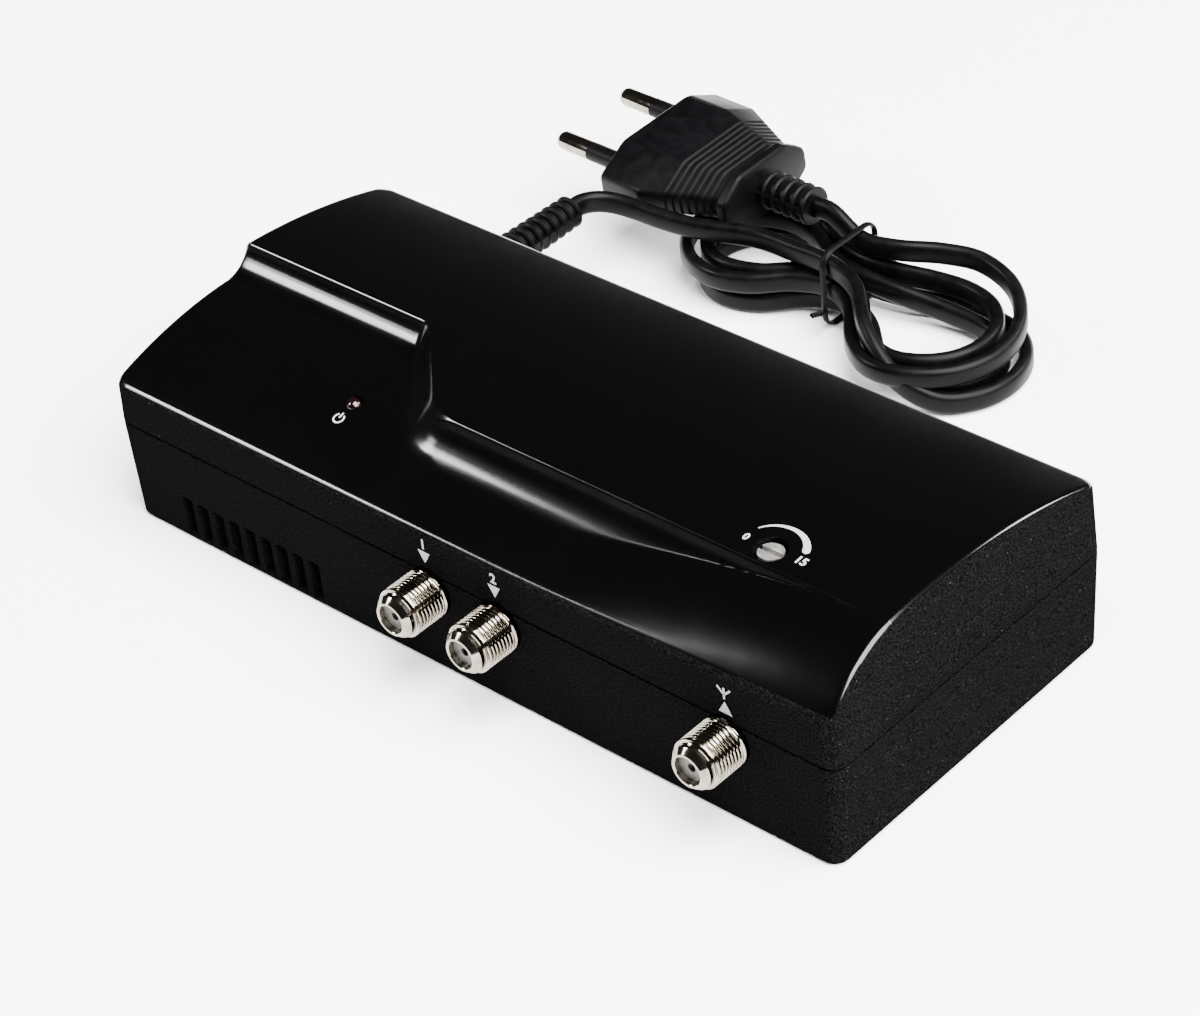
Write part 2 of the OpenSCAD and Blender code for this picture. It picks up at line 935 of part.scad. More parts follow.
module fuse_clips() {
    color("silver")
    for (x = [fuse_x, fuse_x + fuse_l - fuse_cap])
        translate([x, fuse_y, board_top])
            difference() {
                translate([0, -fuse_r - clip_t, 0])
                    cube([fuse_cap, 2 * (fuse_r + clip_t), fuse_r + clip_t]);
                translate([-cut, -fuse_r, clip_t])
                    cube([fuse_cap + 2 * cut, 2 * fuse_r, 2 * fuse_r]);
            }
}

// Strain relief: a flange inside the rear wall, a neck through it, then fins on a core
relief_neck_r = 3.6;
relief_flange_r = 4.5;
relief_flange_t = 2;
relief_collar_t = 2.4;
relief_core_r = 2.6;
fin_taper = 0.6;
fin_t = 1;

// The two cores run in from the strain relief, then down to the board
core_r = 0.9;
core_gap = 3.6;

module mains_wires() {
    inside = rear_y - wall - relief_flange_t;
    bend_y = board_y1 - 2.5;
    color([0.15, 0.35, 0.75])
    for (s = [-1, 1])
        translate([relief_x + s * core_gap / 2, 0, 0]) {
            translate([0, bend_y, relief_z])
                rotate([-90, 0, 0])
                    cylinder(r = core_r, h = inside - bend_y, $fn = 32);
            translate([0, bend_y, relief_z])
                sphere(core_r + screw_fit, $fn = 32);
            translate([0, bend_y, board_top])
                cylinder(r = core_r, h = relief_z - board_top, $fn = 32);
        }
}

module strain_relief() {
    color([0.05, 0.05, 0.055])
    at_relief() {
        translate([0, 0, -wall - relief_flange_t])
            cylinder(r = relief_flange_r, h = relief_flange_t);
        translate([0, 0, -wall])
            cylinder(r = relief_neck_r, h = wall);
        cylinder(r = relief_flange_r, h = relief_collar_t);
        cylinder(r = relief_core_r, h = relief_l);
        for (i = [0 : fin_count - 1]) {
            pitch = (relief_l - relief_collar_t) / fin_count;
            translate([0, 0, relief_collar_t + (i + 1) * pitch - fin_t])
                cylinder(r = fin_r - fin_taper * i / (fin_count - 1), h = fin_t);
        }
    }
}

// Lead. The flat cord stands on its edge. Its sections are points, as shares of its thickness
// across and of its width upwards: ten points along the free stretch and six in the hank.
hank_section = [[0, 0.5], [0.5, 0.22], [0.5, -0.22], [0, -0.5], [-0.5, -0.22], [-0.5, 0.22]];
lead_section = [
    [0, 0.5], [0.36, 0.4], [0.5, 0.22], [0.5, -0.22], [0.36, -0.4],
    [0, -0.5], [-0.36, -0.4], [-0.5, -0.22], [-0.5, 0.22], [-0.36, 0.4]
];

function unit(v) = v / norm(v);
function ring(p, d, section) =
    let (across = unit(cross(d, [0, 0, 1])), up = cross(across, d))
        [for (q = section) p + across * q.x * cord_t + up * q.y * cord_w];
function tangents(path) = [
    for (i = [0 : len(path) - 1])
        unit(path[min(i + 1, len(path) - 1)] - path[max(i - 1, 0)])
];
function rings(path, section) =
    let (along = tangents(path))
        [for (i = [0 : len(path) - 1]) ring(path[i], along[i], section)];

// One closed tube with triangular faces along a path
module cord_tube(path, section) {
    all = rings(path, section);
    sides = len(section);
    last = (len(path) - 1) * sides;
    walls = [
        for (i = [0 : len(path) - 2], k = [0 : sides - 1])
            let (a = i * sides + k, b = i * sides + (k + 1) % sides)
                each [[a, b, b + sides], [a, b + sides, a + sides]]
    ];
    caps = [
        for (k = [1 : sides - 2])
            each [[0, k + 1, k], [last, last + k, last + k + 1]]
    ];
    polyhedron([for (r = all) each r], concat(walls, caps));
}

// Hank: loops drawn in at a waist under the tie, with a wide lobe on each side of it.
// Index 0 is the right lobe and index 1 the left one.
hank_at = [-15, 91.5];
lobe_reach = [27, 21];
lobe_r = [16.5, 15.5];
lobe_step = [4.4, 4.1];
waist_half = 6.2;
waist_step = 3.4;
layer = cord_w + 0.6;
floor_gap = 0.1;
waist_lift = 1.1;
// How far the lobes of the first and of the second layer lie off the hank's axis
lean_first = [-5, -1];
lean_second = [-5, 0];
// How much longer the lobes of the second layer are
long_second = [-4.5, 2];
// Where the spiral turns back, in turns from the tie, and how far the last strand is tucked in
turn_back = 1.5;
tail_tuck = 4;
loop_rings = 24;
run_rings = 3;
arc_rings = 6;

function ease(a) = a <= 0 ? 0 : a >= 1 ? 1 : a < 0.5 ? 2 * a * a : 1 - 2 * (1 - a) * (1 - a);
function ramp(t, a, b) = ease((t - a) / (b - a));

// Centre of the cord at t turns: runs between the waist and the lobes, and arcs round the lobes
function hank_point(t) =
    let (
        j = (t - floor(t)) * loop_rings,
        left = j > run_rings + arc_rings + run_rings && j <= loop_rings ? 1 : 0,
        k = left == 1 ? j - loop_rings / 2 : j,
        way = left == 1 ? -1 : 1,
        spiral = t < turn_back ? t : 2 * turn_back - t,
        second = ramp(t, 1.56, 1.8),
        level = 2 * (1 - ramp(t, 0.05, 0.19)) + ramp(t, 1.28, 1.6) + ramp(t, 3.22, 3.42),
        tuck = tail_tuck * ramp(t, 3.34, 3.5),
        r = lobe_r[left] - lobe_step[left] * spiral,
        w = waist_half - waist_step * spiral,
        on_arc = k > run_rings && k < run_rings + arc_rings,
        out = k <= run_rings,
        a = on_arc ? 1 : out ? k / run_rings : (2 * run_rings + arc_rings - k) / run_rings,
        angle = on_arc ? -90 + 180 * (k - run_rings) / arc_rings : out ? -90 : 90,
        open = ease(a),
        reach = lobe_reach[left] + long_second[left] * second,
        x = on_arc ? reach + r * cos(angle) : reach * a,
        y = on_arc ? r * sin(angle) : (out ? -1 : 1) * (w + (r - w) * open),
        lean = lean_first[left] + (lean_second[left] - lean_first[left]) * second
    )
    [
        hank_at.x + way * x,
        hank_at.y + way * y + lean * open - tuck,
        floor_gap + cord_w / 2 + layer * level + waist_lift * (1 - open)
    ];

// The plug's frame: its cord end, then how far it is rolled, raised towards its face and turned
plug_end = [-27, 96.1, 17.2];
plug_turn = [4, -1.5, -3];
plug_relief_l = 13;
plug_face = plug_relief_l + plug_l;

// Straight run into the hank's first strand, and the run from its last one to the plug
hank_start = hank_point(0);
hank_in = [for (x = [14, 9.4]) hank_start - [x, 0, 0]];
plug_back = [
    cos(plug_turn.z) * cos(plug_turn.y), sin(plug_turn.z) * cos(plug_turn.y), -sin(plug_turn.y)
];
tail_run = [for (x = [4.6, 0]) plug_end + x * plug_back];
hank_count = hank_turns * loop_rings;
hank_path = concat(
    hank_in,
    [for (i = [0 : hank_count]) hank_point(min(i / loop_rings, hank_turns - 0.0001))],
    tail_run
);

// Free stretch of the lead, from the strain relief over the hank's left lobe to the tie
relief_end = [relief_x, rear_y + relief_l, relief_z];
lead_route = [
    [-67, 71, 16.8], [-65.8, 74.1, 16.4], [-63, 76.5, 15.8], [-58.5, 77.9, 15.2], [-53, 78.7, 14.7],
    [-47, 79.9, 14.3], [-41.5, 81.7, 14.1], [-36.5, 83.8, 14], [-33, 84.9, 13.9]
];
lead_path = concat([relief_end], lead_route, [hank_in[0]]);

// Least distance between points of the cord's skin that lie a fifth of a turn or more apart
function least_gap(path) =
    let (all = rings(path, hank_section), apart = round(loop_rings / 5))
        min([
            for (i = [0 : len(all) - 1 - apart], k = [i + apart : len(all) - 1])
                if (norm(path[i] - path[k]) < 3 * cord_w)
                    min([for (p = all[i], q = all[k]) norm(p - q)])
        ]);

module cord_lead() {
    color([0.06, 0.06, 0.065])
    cord_tube(lead_path, lead_section);
}

module cord_hank() {
    echo(hank_least_gap = least_gap(hank_path));
    color([0.06, 0.06, 0.065])
    cord_tube(hank_path, hank_section);
}

// Tie round the waist: a thin band with its twisted ends at the front
tie_t = 0.8;
tie_w = 1.6;
tie_gap = 0.4;
tie_front = hank_at.y - waist_half - cord_t / 2 - tie_gap;
tie_rear = hank_at.y + waist_half + cord_t / 2 + tie_gap - 0.6;
tie_top = floor_gap + waist_lift + 2 * layer + cord_w + tie_gap;
tie_end_l = 4;

module hank_tie() {
    deep = tie_rear - tie_front;
    high = tie_top - tie_t;
    color([0.07, 0.07, 0.07])
    translate([hank_at.x - tie_w / 2, (tie_front + tie_rear) / 2, 0]) {
        translate([0, 0, (tie_top + tie_t) / 2])
            rotate([90, 0, 90])
                linear_extrude(tie_w)
                    difference() {
                        rounded_rect(deep + 2 * tie_t, high + 2 * tie_t, 3);
                        rounded_rect(deep, high, 3 - tie_t);
                    }
        translate([tie_w / 2, -deep / 2 - tie_t / 2, 4])
            rotate([70, 0, 0])
                cylinder(r = tie_t, h = tie_end_l, $fn = 24);
    }
}

// Plug, drawn along +X from its cord end
module at_plug() {
    translate(plug_end)
        rotate([0, 0, plug_turn.z])
            rotate([0, plug_turn.y, 0])
                rotate([plug_turn.x, 0, 0])
                    mirror([1, 0, 0])
                        children();
}

grip_w = 21;
grip_t = 10.5;
collar_w = 24;
collar_t = 12;
collar_l = 3;
block_l = 11;
// Six-sided section: thickness of the narrow sides, and share of the width that stays flat
edge_t = 4.5;
flat_share = 0.55;

module plug_slab(x, l, w, t) {
    flat = flat_share * w / 2;
    translate([x, 0, 0])
        rotate([90, 0, 90])
            linear_extrude(l)
                polygon([
                    [w / 2, -edge_t / 2], [w / 2, edge_t / 2], [flat, t / 2], [-flat, t / 2],
                    [-w / 2, edge_t / 2], [-w / 2, -edge_t / 2], [-flat, -t / 2], [flat, -t / 2]
                ]);
}

module plug_body() {
    thin = 0.2;
    color([0.05, 0.05, 0.055])
    at_plug() {
        plug_slab(plug_face - block_l, block_l, plug_w, plug_t);
        hull() {
            plug_slab(plug_face - block_l - thin, thin, plug_w, plug_t);
            plug_slab(plug_relief_l + collar_l, thin, grip_w, grip_t);
        }
        plug_slab(plug_relief_l, collar_l, collar_w, collar_t);
    }
}

sleeve_l = 10;
sleeve_t = 0.6;
pin_core_r = pin_r - sleeve_t;

module at_pins() {
    at_plug()
        for (s = [-1, 1])
            translate([plug_face, s * pin_gap / 2, 0])
                rotate([0, 90, 0])
                    children();
}

module plug_pins() {
    color("gainsboro")
    at_pins() {
        cylinder(r = pin_core_r, h = sleeve_l);
        translate([0, 0, sleeve_l])
            cylinder(r = pin_r, h = pin_l - sleeve_l - pin_r / 2);
        translate([0, 0, pin_l - pin_r / 2])
            cylinder(r1 = pin_r, r2 = pin_r / 2, h = pin_r / 2);
    }
}

module pin_sleeves() {
    color([0.07, 0.07, 0.07])
    at_pins()
        difference() {
            cylinder(r = pin_r, h = sleeve_l);
            translate([0, 0, -cut])
                cylinder(r = pin_core_r + slip / 4, h = sleeve_l + 2 * cut);
        }
}

plug_fins = 5;
plug_core_r = 2.75;
plug_fin_r = 4;

module plug_relief() {
    color([0.05, 0.05, 0.055])
    at_plug()
        rotate([0, 90, 0]) {
            cylinder(r = plug_core_r, h = plug_relief_l);
            for (i = [0 : plug_fins - 1])
                translate([0, 0, i * plug_relief_l / plug_fins])
                    cylinder(r = plug_fin_r, h = fin_t);
        }
}

base_tray();
top_cover();
case_screws();
circuit_board();
board_screws();
output_1_shell();
output_1_insulator();
output_1_contact();
output_2_shell();
output_2_insulator();
output_2_contact();
antenna_shell();
antenna_insulator();
antenna_contact();
shield_can();
shield_lid();
amplifier_transistor();
splitter_core();
gain_control_body();
gain_control_rotor();
power_led();
led_spacer();
transformer_core();
transformer_bobbin();
transformer_winding();
transformer_strap();
rectifier_diodes();
filter_capacitor();
smoothing_capacitor();
voltage_regulator();
regulator_heatsink();
mains_fuse();
fuse_clips();
mains_wires();
strain_relief();
cord_lead();
cord_hank();
hank_tie();
plug_body();
plug_pins();
pin_sleeves();
plug_relief();
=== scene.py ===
"""Looks of a mains-powered TV signal amplifier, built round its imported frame.

Lengths are in millimetres until a mesh is made. +X runs along the front, the front faces -Y, +Z is up.
"""
import math

import bmesh
import bpy
import numpy as np
from mathutils import Matrix, Vector


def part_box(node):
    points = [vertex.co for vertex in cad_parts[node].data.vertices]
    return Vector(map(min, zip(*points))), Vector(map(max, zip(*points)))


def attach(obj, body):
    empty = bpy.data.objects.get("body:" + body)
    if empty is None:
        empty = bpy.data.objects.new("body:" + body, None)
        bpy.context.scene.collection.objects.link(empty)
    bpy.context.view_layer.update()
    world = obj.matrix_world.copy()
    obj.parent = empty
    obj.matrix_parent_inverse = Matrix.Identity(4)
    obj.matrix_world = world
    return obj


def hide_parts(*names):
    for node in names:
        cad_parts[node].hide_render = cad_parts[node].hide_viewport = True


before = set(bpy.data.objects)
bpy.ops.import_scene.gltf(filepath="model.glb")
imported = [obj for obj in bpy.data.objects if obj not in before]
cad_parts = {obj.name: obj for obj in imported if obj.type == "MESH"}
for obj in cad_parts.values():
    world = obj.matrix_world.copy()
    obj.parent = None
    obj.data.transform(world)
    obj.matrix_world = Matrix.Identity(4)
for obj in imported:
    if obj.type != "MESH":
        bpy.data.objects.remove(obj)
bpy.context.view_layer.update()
MM = 0.001
BODY = "amplifier"


# Sizes that the frame gives
def far_corner(node):
    return np.array(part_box(node)[1]) / MM


HALF_L, HALF_W, SEAM_Z = far_corner("base_tray")
CROWN_Z = far_corner("top_cover")[2]

# Case
WALL = 2.2
FLOOR_T = 2.2
CORNER_R = 3.0
CORNER_STEPS = 10
EDGE_R = 1.1
FOOT_R = 0.9
TRAY_LEAN = 1.0 / 21
COVER_LEAN, LEAN_REACH = 1.3 / 19.8, 25
GROOVE = 0.5
# Upward share of a normal below which a face is a wall, and sideways share of the end walls
WALL_STEEP, END_STEEP = 0.62, 0.6

# Curves of the cover, as its heights over the depth of the case
ARCH_Y, ARCH_R = -5.5, 130.0
PANEL_Y, PANEL_R, PANEL_DROP = -4.5, 80.0, 5.1
SHOULDER_Y, SHOULDER_R, SHOULDER_LIFT = -15.5, 30.0, 0.4
STEP_BACK, STEP_FRONT = 0.4, 19.4
TURN_X, TURN_SLANT = -36.8, 43.0
# The steps along the case are hollow: each springs from the panel at its foot and bends up steeply
BACK_FOOT, BACK_R = -6.48, 6.7
FRONT_FOOT, FRONT_R = -26.7, 11.0
HOLLOW_END = 0.91
# Narrow chamfer along each crest, from the place where it leaves the arch
BACK_LIP, FRONT_LIP, LIP_SLOPE = 0.12, -18.88, 0.9
# The slanted step is steep at its back end and gentler at its front end
TURN_SLOPE = (1.9, 1.1)
# The panel rises little by little into the shoulder from here to the right end
RISE_FROM = 10.0
# Heights over which two of the curves run into each other; the foot's changes along the case
CREASE, NOSE, CREST, ROOF_BLEND = 1.6, 4.0, 0.1, 0.4
FOOT_X, FOOT_BLEND = (-42, -34, -20, -12, 30, 75), (0.3, 2.2, 2.2, 0.3, 0.3, 0.03)

# Spacing of the cover's mesh, finest over the steps, as (end, spacing) of each stretch
GRID_X = [(-42, 1.2), (-12, 0.5), (HALF_L, 1.0)]
GRID_Y = [(-27, 0.8), (-20, 0.25), (-18.5, 0.1), (-7, 0.6), (-1, 0.25), (0.6, 0.1), (HALF_W, 0.9)]

# Vents, screws and openings
VENT_COUNT, VENT_PITCH, VENT_SLOT, VENT_H, VENT_SILL, VENT_START = 9, 4.15, 2.8, 9.4, 0.8, 14.8
VENT_EASE = 0.4
BOSS_IN = (8.0, 7.5)
SCREW_RECESS_R, SCREW_RECESS_H = 3.0, 1.8
DIAL_AT, DIAL_HOLE_R = (56.2, -15.6), 3.0
LAMP_AT, LAMP_HOLE_R = (-36.8, -19.7), 1.7

# Coaxial sockets
SOCKET_X = {"output_1": -5.0, "output_2": 11.5, "antenna": 62.0}
SOCKET_Z = SEAM_Z - 3.9
SOCKET_L = 10.0
THREAD_R, THREAD_PITCH, THREAD_TURNS, THREAD_DEPTH, THREAD_START = 4.76, 0.794, 9, 0.45, 0.6
THREAD_ROWS, BARREL_SIDES, BLOCK_SIDES = 9, 96, 32
NECK_R, NECK_L, NOSE_R, BORE_R = 4.11, 1.2, 3.2, 2.7
BLOCK_W, BLOCK_D, BLOCK_GAP, SOCKET_RISE = 12.0, 10.0, 0.3, 7.0

# Lead
RELIEF_AT = (-67.0, HALF_W, SEAM_Z - 4.2)
RELIEF_L, RELIEF_FLANGE_R, RELIEF_NECK_R, RELIEF_COLLAR = 32.5, 4.5, 3.6, 2.4
RELIEF_CORE_R, FIN_R, FIN_TAPER, FIN_COUNT, FIN_T = 2.6, 4.0, 0.6, 13, 1.0
FIN_SOFT = 0.35
CORD_W, CORD_T = 4.6, 2.8
LEAD_ROUTE = [
    (-67, 71, 16.8), (-65.8, 74.1, 16.4), (-63, 76.5, 15.8), (-58.5, 77.9, 15.2), (-53, 78.7, 14.7),
    (-47, 79.9, 14.3), (-41.5, 81.7, 14.1), (-36.5, 83.8, 14), (-33, 84.9, 13.9),
]
HANK_AT = (-15.0, 91.5)
LOBE_REACH, LOBE_R, LOBE_STEP = (27.0, 21.0), (16.5, 15.5), (4.4, 4.1)
WAIST_HALF, WAIST_STEP, WAIST_LIFT = 6.2, 3.4, 1.1
LAYER, FLOOR_GAP = CORD_W + 0.6, 0.1
LEAN_FIRST, LEAN_SECOND, LONG_SECOND = (-5.0, -1.0), (-5.0, 0.0), (-4.5, 2.0)
HANK_TURNS, TURN_BACK, TAIL_TUCK = 3.5, 1.5, 4.0
LOOP_RINGS, RUN_RINGS, ARC_RINGS = 24, 3, 6
# Turns between which the hank sinks to the floor, changes its shape, climbs, and leaves for the plug
SINK, SECOND_SHAPE, CLIMB = (0.05, 0.19), (1.56, 1.8), (1.28, 1.6)
LAST_CLIMB, LEAVE = (3.22, 3.42), (3.34, 3.5)
INTO_HANK, INTO_PLUG, CORD_STEP = (14, 9.4), (4.6, 0), 1.2

# Plug, drawn along +X from its cord end
PLUG_END, PLUG_TURN = (-27.0, 96.1, 17.2), (4.0, -1.5, -3.0)
PLUG_RELIEF_L, PLUG_L, PLUG_W, PLUG_T = 13.0, 30.0, 34.6, 13.1
GRIP_W, GRIP_T, COLLAR_W, COLLAR_T, COLLAR_L, BLOCK_L = 21.0, 10.5, 24.0, 12.0, 3.0, 11.0
PLUG_EDGE_T, PLUG_FLAT, PLUG_CORNER_R = 4.5, 0.55, 0.9
RIB_COUNT, RIB_PITCH, RIB_DEPTH = 7, 1.5, 0.35
PLUG_FINS, PLUG_FIN_R, PLUG_CORE_R, PLUG_BAR_Y = 5, 4.0, 2.75, 2.9
PIN_R, PIN_L, PIN_GAP, SLEEVE_L = 2.0, 19.0, 18.6, 10.0


# Camera, at the photograph's angle
def add_camera():
    right = (0.7422213654, 0.6638926558, -0.0914001437)
    down = (0.3454560317, -0.4958995657, -0.7967080713)
    ahead = (-0.5742539290, 0.5597590216, -0.5974129751)
    at = (0.37489, -0.36357, 0.40352)
    data = bpy.data.cameras.new("camera")
    data.sensor_fit = "HORIZONTAL"
    data.sensor_width = 36
    data.lens = 110.144
    camera = bpy.data.objects.new("camera", data)
    bpy.context.scene.collection.objects.link(camera)
    rows = [(right[i], -down[i], -ahead[i], at[i]) for i in range(3)]
    camera.matrix_world = Matrix((*rows, (0, 0, 0, 1)))
    bpy.context.scene.camera = camera


# Shapes: each gives its points and its faces
def circle(r, h, count=48, turn=0.0):
    angles = [turn + 2 * math.pi * i / count for i in range(count)]
    return [(r * math.cos(a), r * math.sin(a), h) for a in angles]


def loft(loops, caps=True, ring=False):
    """Skin over loops of equal length, anticlockwise as seen from the way they follow each other."""
    count = len(loops[0])
    points = [p for loop in loops for p in loop]
    pairs = [(i, i + 1) for i in range(len(loops) - 1)]
    if ring:
        pairs.append((len(loops) - 1, 0))
    faces = [
        (a * count + k, a * count + (k + 1) % count, b * count + (k + 1) % count, b * count + k)
        for a, b in pairs for k in range(count)
    ]
    if caps and not ring:
        faces.append(tuple(reversed(range(count))))
        faces.append(tuple(range(len(points) - count, len(points))))
    return points, faces


def lathe(profile, count=48):
    """Closed solid of revolution about the local Z axis from (radius, height) pairs."""
    return loft([circle(r, h, count) for r, h in profile])


def merge(*shapes):
    points, faces = [], []
    for p, f in shapes:
        faces += [tuple(i + len(points) for i in face) for face in f]
        points += list(p)
    return points, faces


def moved(shape, matrix):
    points, faces = shape
    return [tuple(matrix @ Vector(p)) for p in points], faces


def box(low, high):
    (x0, y0, z0), (x1, y1, z1) = low, high
    loops = [[(x0, y0, z), (x1, y0, z), (x1, y1, z), (x0, y1, z)] for z in (z0, z1)]
    return loft(loops)


def rod(at, r, z0, z1, count=48):
    return moved(lathe([(r, z0), (r, z1)], count), Matrix.Translation((at[0], at[1], 0)))


# Pieces
def mesh_object(name, shape):
    points, faces = shape
    mesh = bpy.data.meshes.new(name)
    mesh.from_pydata([tuple(MM * c for c in p) for p in points], [], faces)
    piece = bpy.data.objects.new(name, mesh)
    bpy.context.scene.collection.objects.link(piece)
    skin = bmesh.new()
    skin.from_mesh(mesh)
    bmesh.ops.recalc_face_normals(skin, faces=skin.faces)
    skin.to_mesh(mesh)
    skin.free()
    return piece


def shade(piece, angle):
    """Smooth shading, with edges sharper than the angle left hard."""
    piece.data.shade_smooth()
    piece.data.set_sharp_from_angle(angle=math.radians(angle))


def add_piece(name, shape, material, nodes=(), body=BODY, angle=35, cutters=None):
    piece = mesh_object(name, shape)
    if cutters:
        cut(piece, cutters)
    piece.data.materials.append(material)
    shade(piece, angle)
    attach(piece, body)
    if nodes:
        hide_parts(*nodes)
    return piece


def cut(piece, shape):
    """Takes a shape out of a piece for good."""
    tool = mesh_object(piece.name + "_tool", shape)
    step = piece.modifiers.new("cut", "BOOLEAN")
    step.operation = "DIFFERENCE"
    step.solver = "EXACT"
    step.object = tool
    done = bpy.data.meshes.new_from_object(piece.evaluated_get(bpy.context.evaluated_depsgraph_get()))
    piece.modifiers.clear()
    piece.data = done
    bpy.data.objects.remove(tool)


# Materials
class Finish:
    """A Principled material whose colour, roughness and bump come from noise in object coordinates."""

    def __init__(self, name, **sockets):
        self.material = bpy.data.materials.new(name)
        self.material.use_nodes = True
        self.tree = self.material.node_tree
        self.shader = self.tree.nodes["Principled BSDF"]
        for socket, value in sockets.items():
            self.shader.inputs[socket.replace("_", " ")].default_value = value
        self.place = self.tree.nodes.new("ShaderNodeTexCoord").outputs["Object"]

    def stretched(self, scale):
        mapping = self.tree.nodes.new("ShaderNodeMapping")
        mapping.inputs["Scale"].default_value = scale
        self.tree.links.new(self.place, mapping.inputs["Vector"])
        return mapping.outputs["Vector"]

    def noise(self, size, detail=2.0, stretch=None):
        """Noise whose blots are about size millimetres across."""
        node = self.tree.nodes.new("ShaderNodeTexNoise")
        node.inputs["Scale"].default_value = 1 / (size * MM)
        node.inputs["Detail"].default_value = detail
        source = self.stretched(stretch) if stretch else self.place
        self.tree.links.new(source, node.inputs["Vector"])
        return node.outputs["Fac"]

    def ramp(self, source, stops):
        node = self.tree.nodes.new("ShaderNodeValToRGB")
        first, last = node.color_ramp.elements
        spare = [node.color_ramp.elements.new(0.5) for _ in stops[2:]]
        for element, (at, value) in zip([first, *spare, last], stops):
            element.position = at
            colour = value if isinstance(value, tuple) else (value,) * 3
            element.color = (*colour, 1)
        self.tree.links.new(source, node.inputs["Fac"])
        return node.outputs["Color"]

    def colour(self, source, *stops):
        self.tree.links.new(self.ramp(source, stops), self.shader.inputs["Base Color"])

    def roughness(self, source, *stops):
        self.tree.links.new(self.ramp(source, stops), self.shader.inputs["Roughness"])

    def bump(self, source, height, strength=1.0):
        """Relief of the given height in millimetres. A second call adds to the first."""
        node = self.tree.nodes.new("ShaderNodeBump")
        node.inputs["Strength"].default_value = strength
        node.inputs["Distance"].default_value = height * MM
        self.tree.links.new(source, node.inputs["Height"])
        normal = self.shader.inputs["Normal"]
        if normal.links:
            self.tree.links.new(normal.links[0].from_socket, node.inputs["Normal"])
        self.tree.links.new(node.outputs["Normal"], normal)


def case_grain(name):
    """Black moulded plastic with the fine spark-eroded grain of the walls."""
    f = Finish(name, Specular_IOR_Level=0.0)
    fine = f.noise(0.3, 3)
    f.colour(fine, (0.42, 0.0008), (0.58, 0.0018), (0.75, 0.007))
    f.roughness(f.noise(6.0, 4), (0.3, 0.5), (0.7, 0.62))
    f.bump(fine, 0.06, 0.8)
    f.bump(f.noise(0.6, 2), 0.05, 0.4)
    return f.material


def case_satin(name):
    """The same plastic with the finer, nearly polished surface of the cover's top."""
    f = Finish(name, Specular_IOR_Level=0.3)
    fine = f.noise(0.2, 3)
    f.colour(fine, (0.35, 0.0002), (0.8, 0.0006))
    f.roughness(f.noise(14.0, 5), (0.3, 0.13), (0.7, 0.16))
    f.bump(fine, 0.012, 0.35)
    return f.material


def vinyl(name, colour, rough):
    """Soft PVC of the lead and plug, with faint flow marks and handling smears."""
    f = Finish(name, Specular_IOR_Level=0.05)
    dark, light = (tuple(k * c for c in colour) for k in (0.6, 1.5))
    f.colour(f.noise(2.5, 4), (0.3, dark), (0.75, light))
    f.roughness(f.noise(5.0, 5), (0.3, rough), (0.72, rough + 0.16))
    f.bump(f.noise(0.35, 3), 0.02, 0.5)
    return f.material


def metal(name, dark, light, rough, stretch=None, relief=0.01):
    """Plated or drawn metal with a slight tarnish and fine tool marks."""
    f = Finish(name, Metallic=1.0)
    f.colour(f.noise(3.0, 5), (0.3, dark), (0.7, light))
    f.roughness(f.noise(1.2, 4, stretch), (0.3, rough), (0.75, 1.8 * rough))
    f.bump(f.noise(0.5, 3, stretch), relief, 0.5)
    return f.material


def moulded(name, dark, light, rough, grain=0.4, relief=0.03, **sockets):
    """Hard part with a mottled colour and a fine surface."""
    f = Finish(name, **sockets)
    f.colour(f.noise(1.8, 4), (0.3, dark), (0.72, light))
    f.roughness(f.noise(3.0, 4), (0.3, rough), (0.7, min(1.0, rough + 0.15)))
    f.bump(f.noise(grain, 3), relief, 0.5)
    return f.material


def print_white(name):
    """Pad-printed ink, slightly uneven where it lies on the grain."""
    f = Finish(name, Specular_IOR_Level=0.3)
    f.colour(f.noise(0.25, 3), (0.3, 0.16), (0.6, 0.3))
    f.roughness(f.noise(1.0, 3), (0.3, 0.5), (0.7, 0.65))
    f.bump(f.noise(0.2, 2), 0.015, 0.5)
    return f.material


# Lead: the flat cord stands on its edge
def ease(a):
    if a <= 0:
        return 0.0
    if a >= 1:
        return 1.0
    return 2 * a * a if a < 0.5 else 1 - 2 * (1 - a) * (1 - a)


def ramp(t, a, b):
    return ease((t - a) / (b - a))


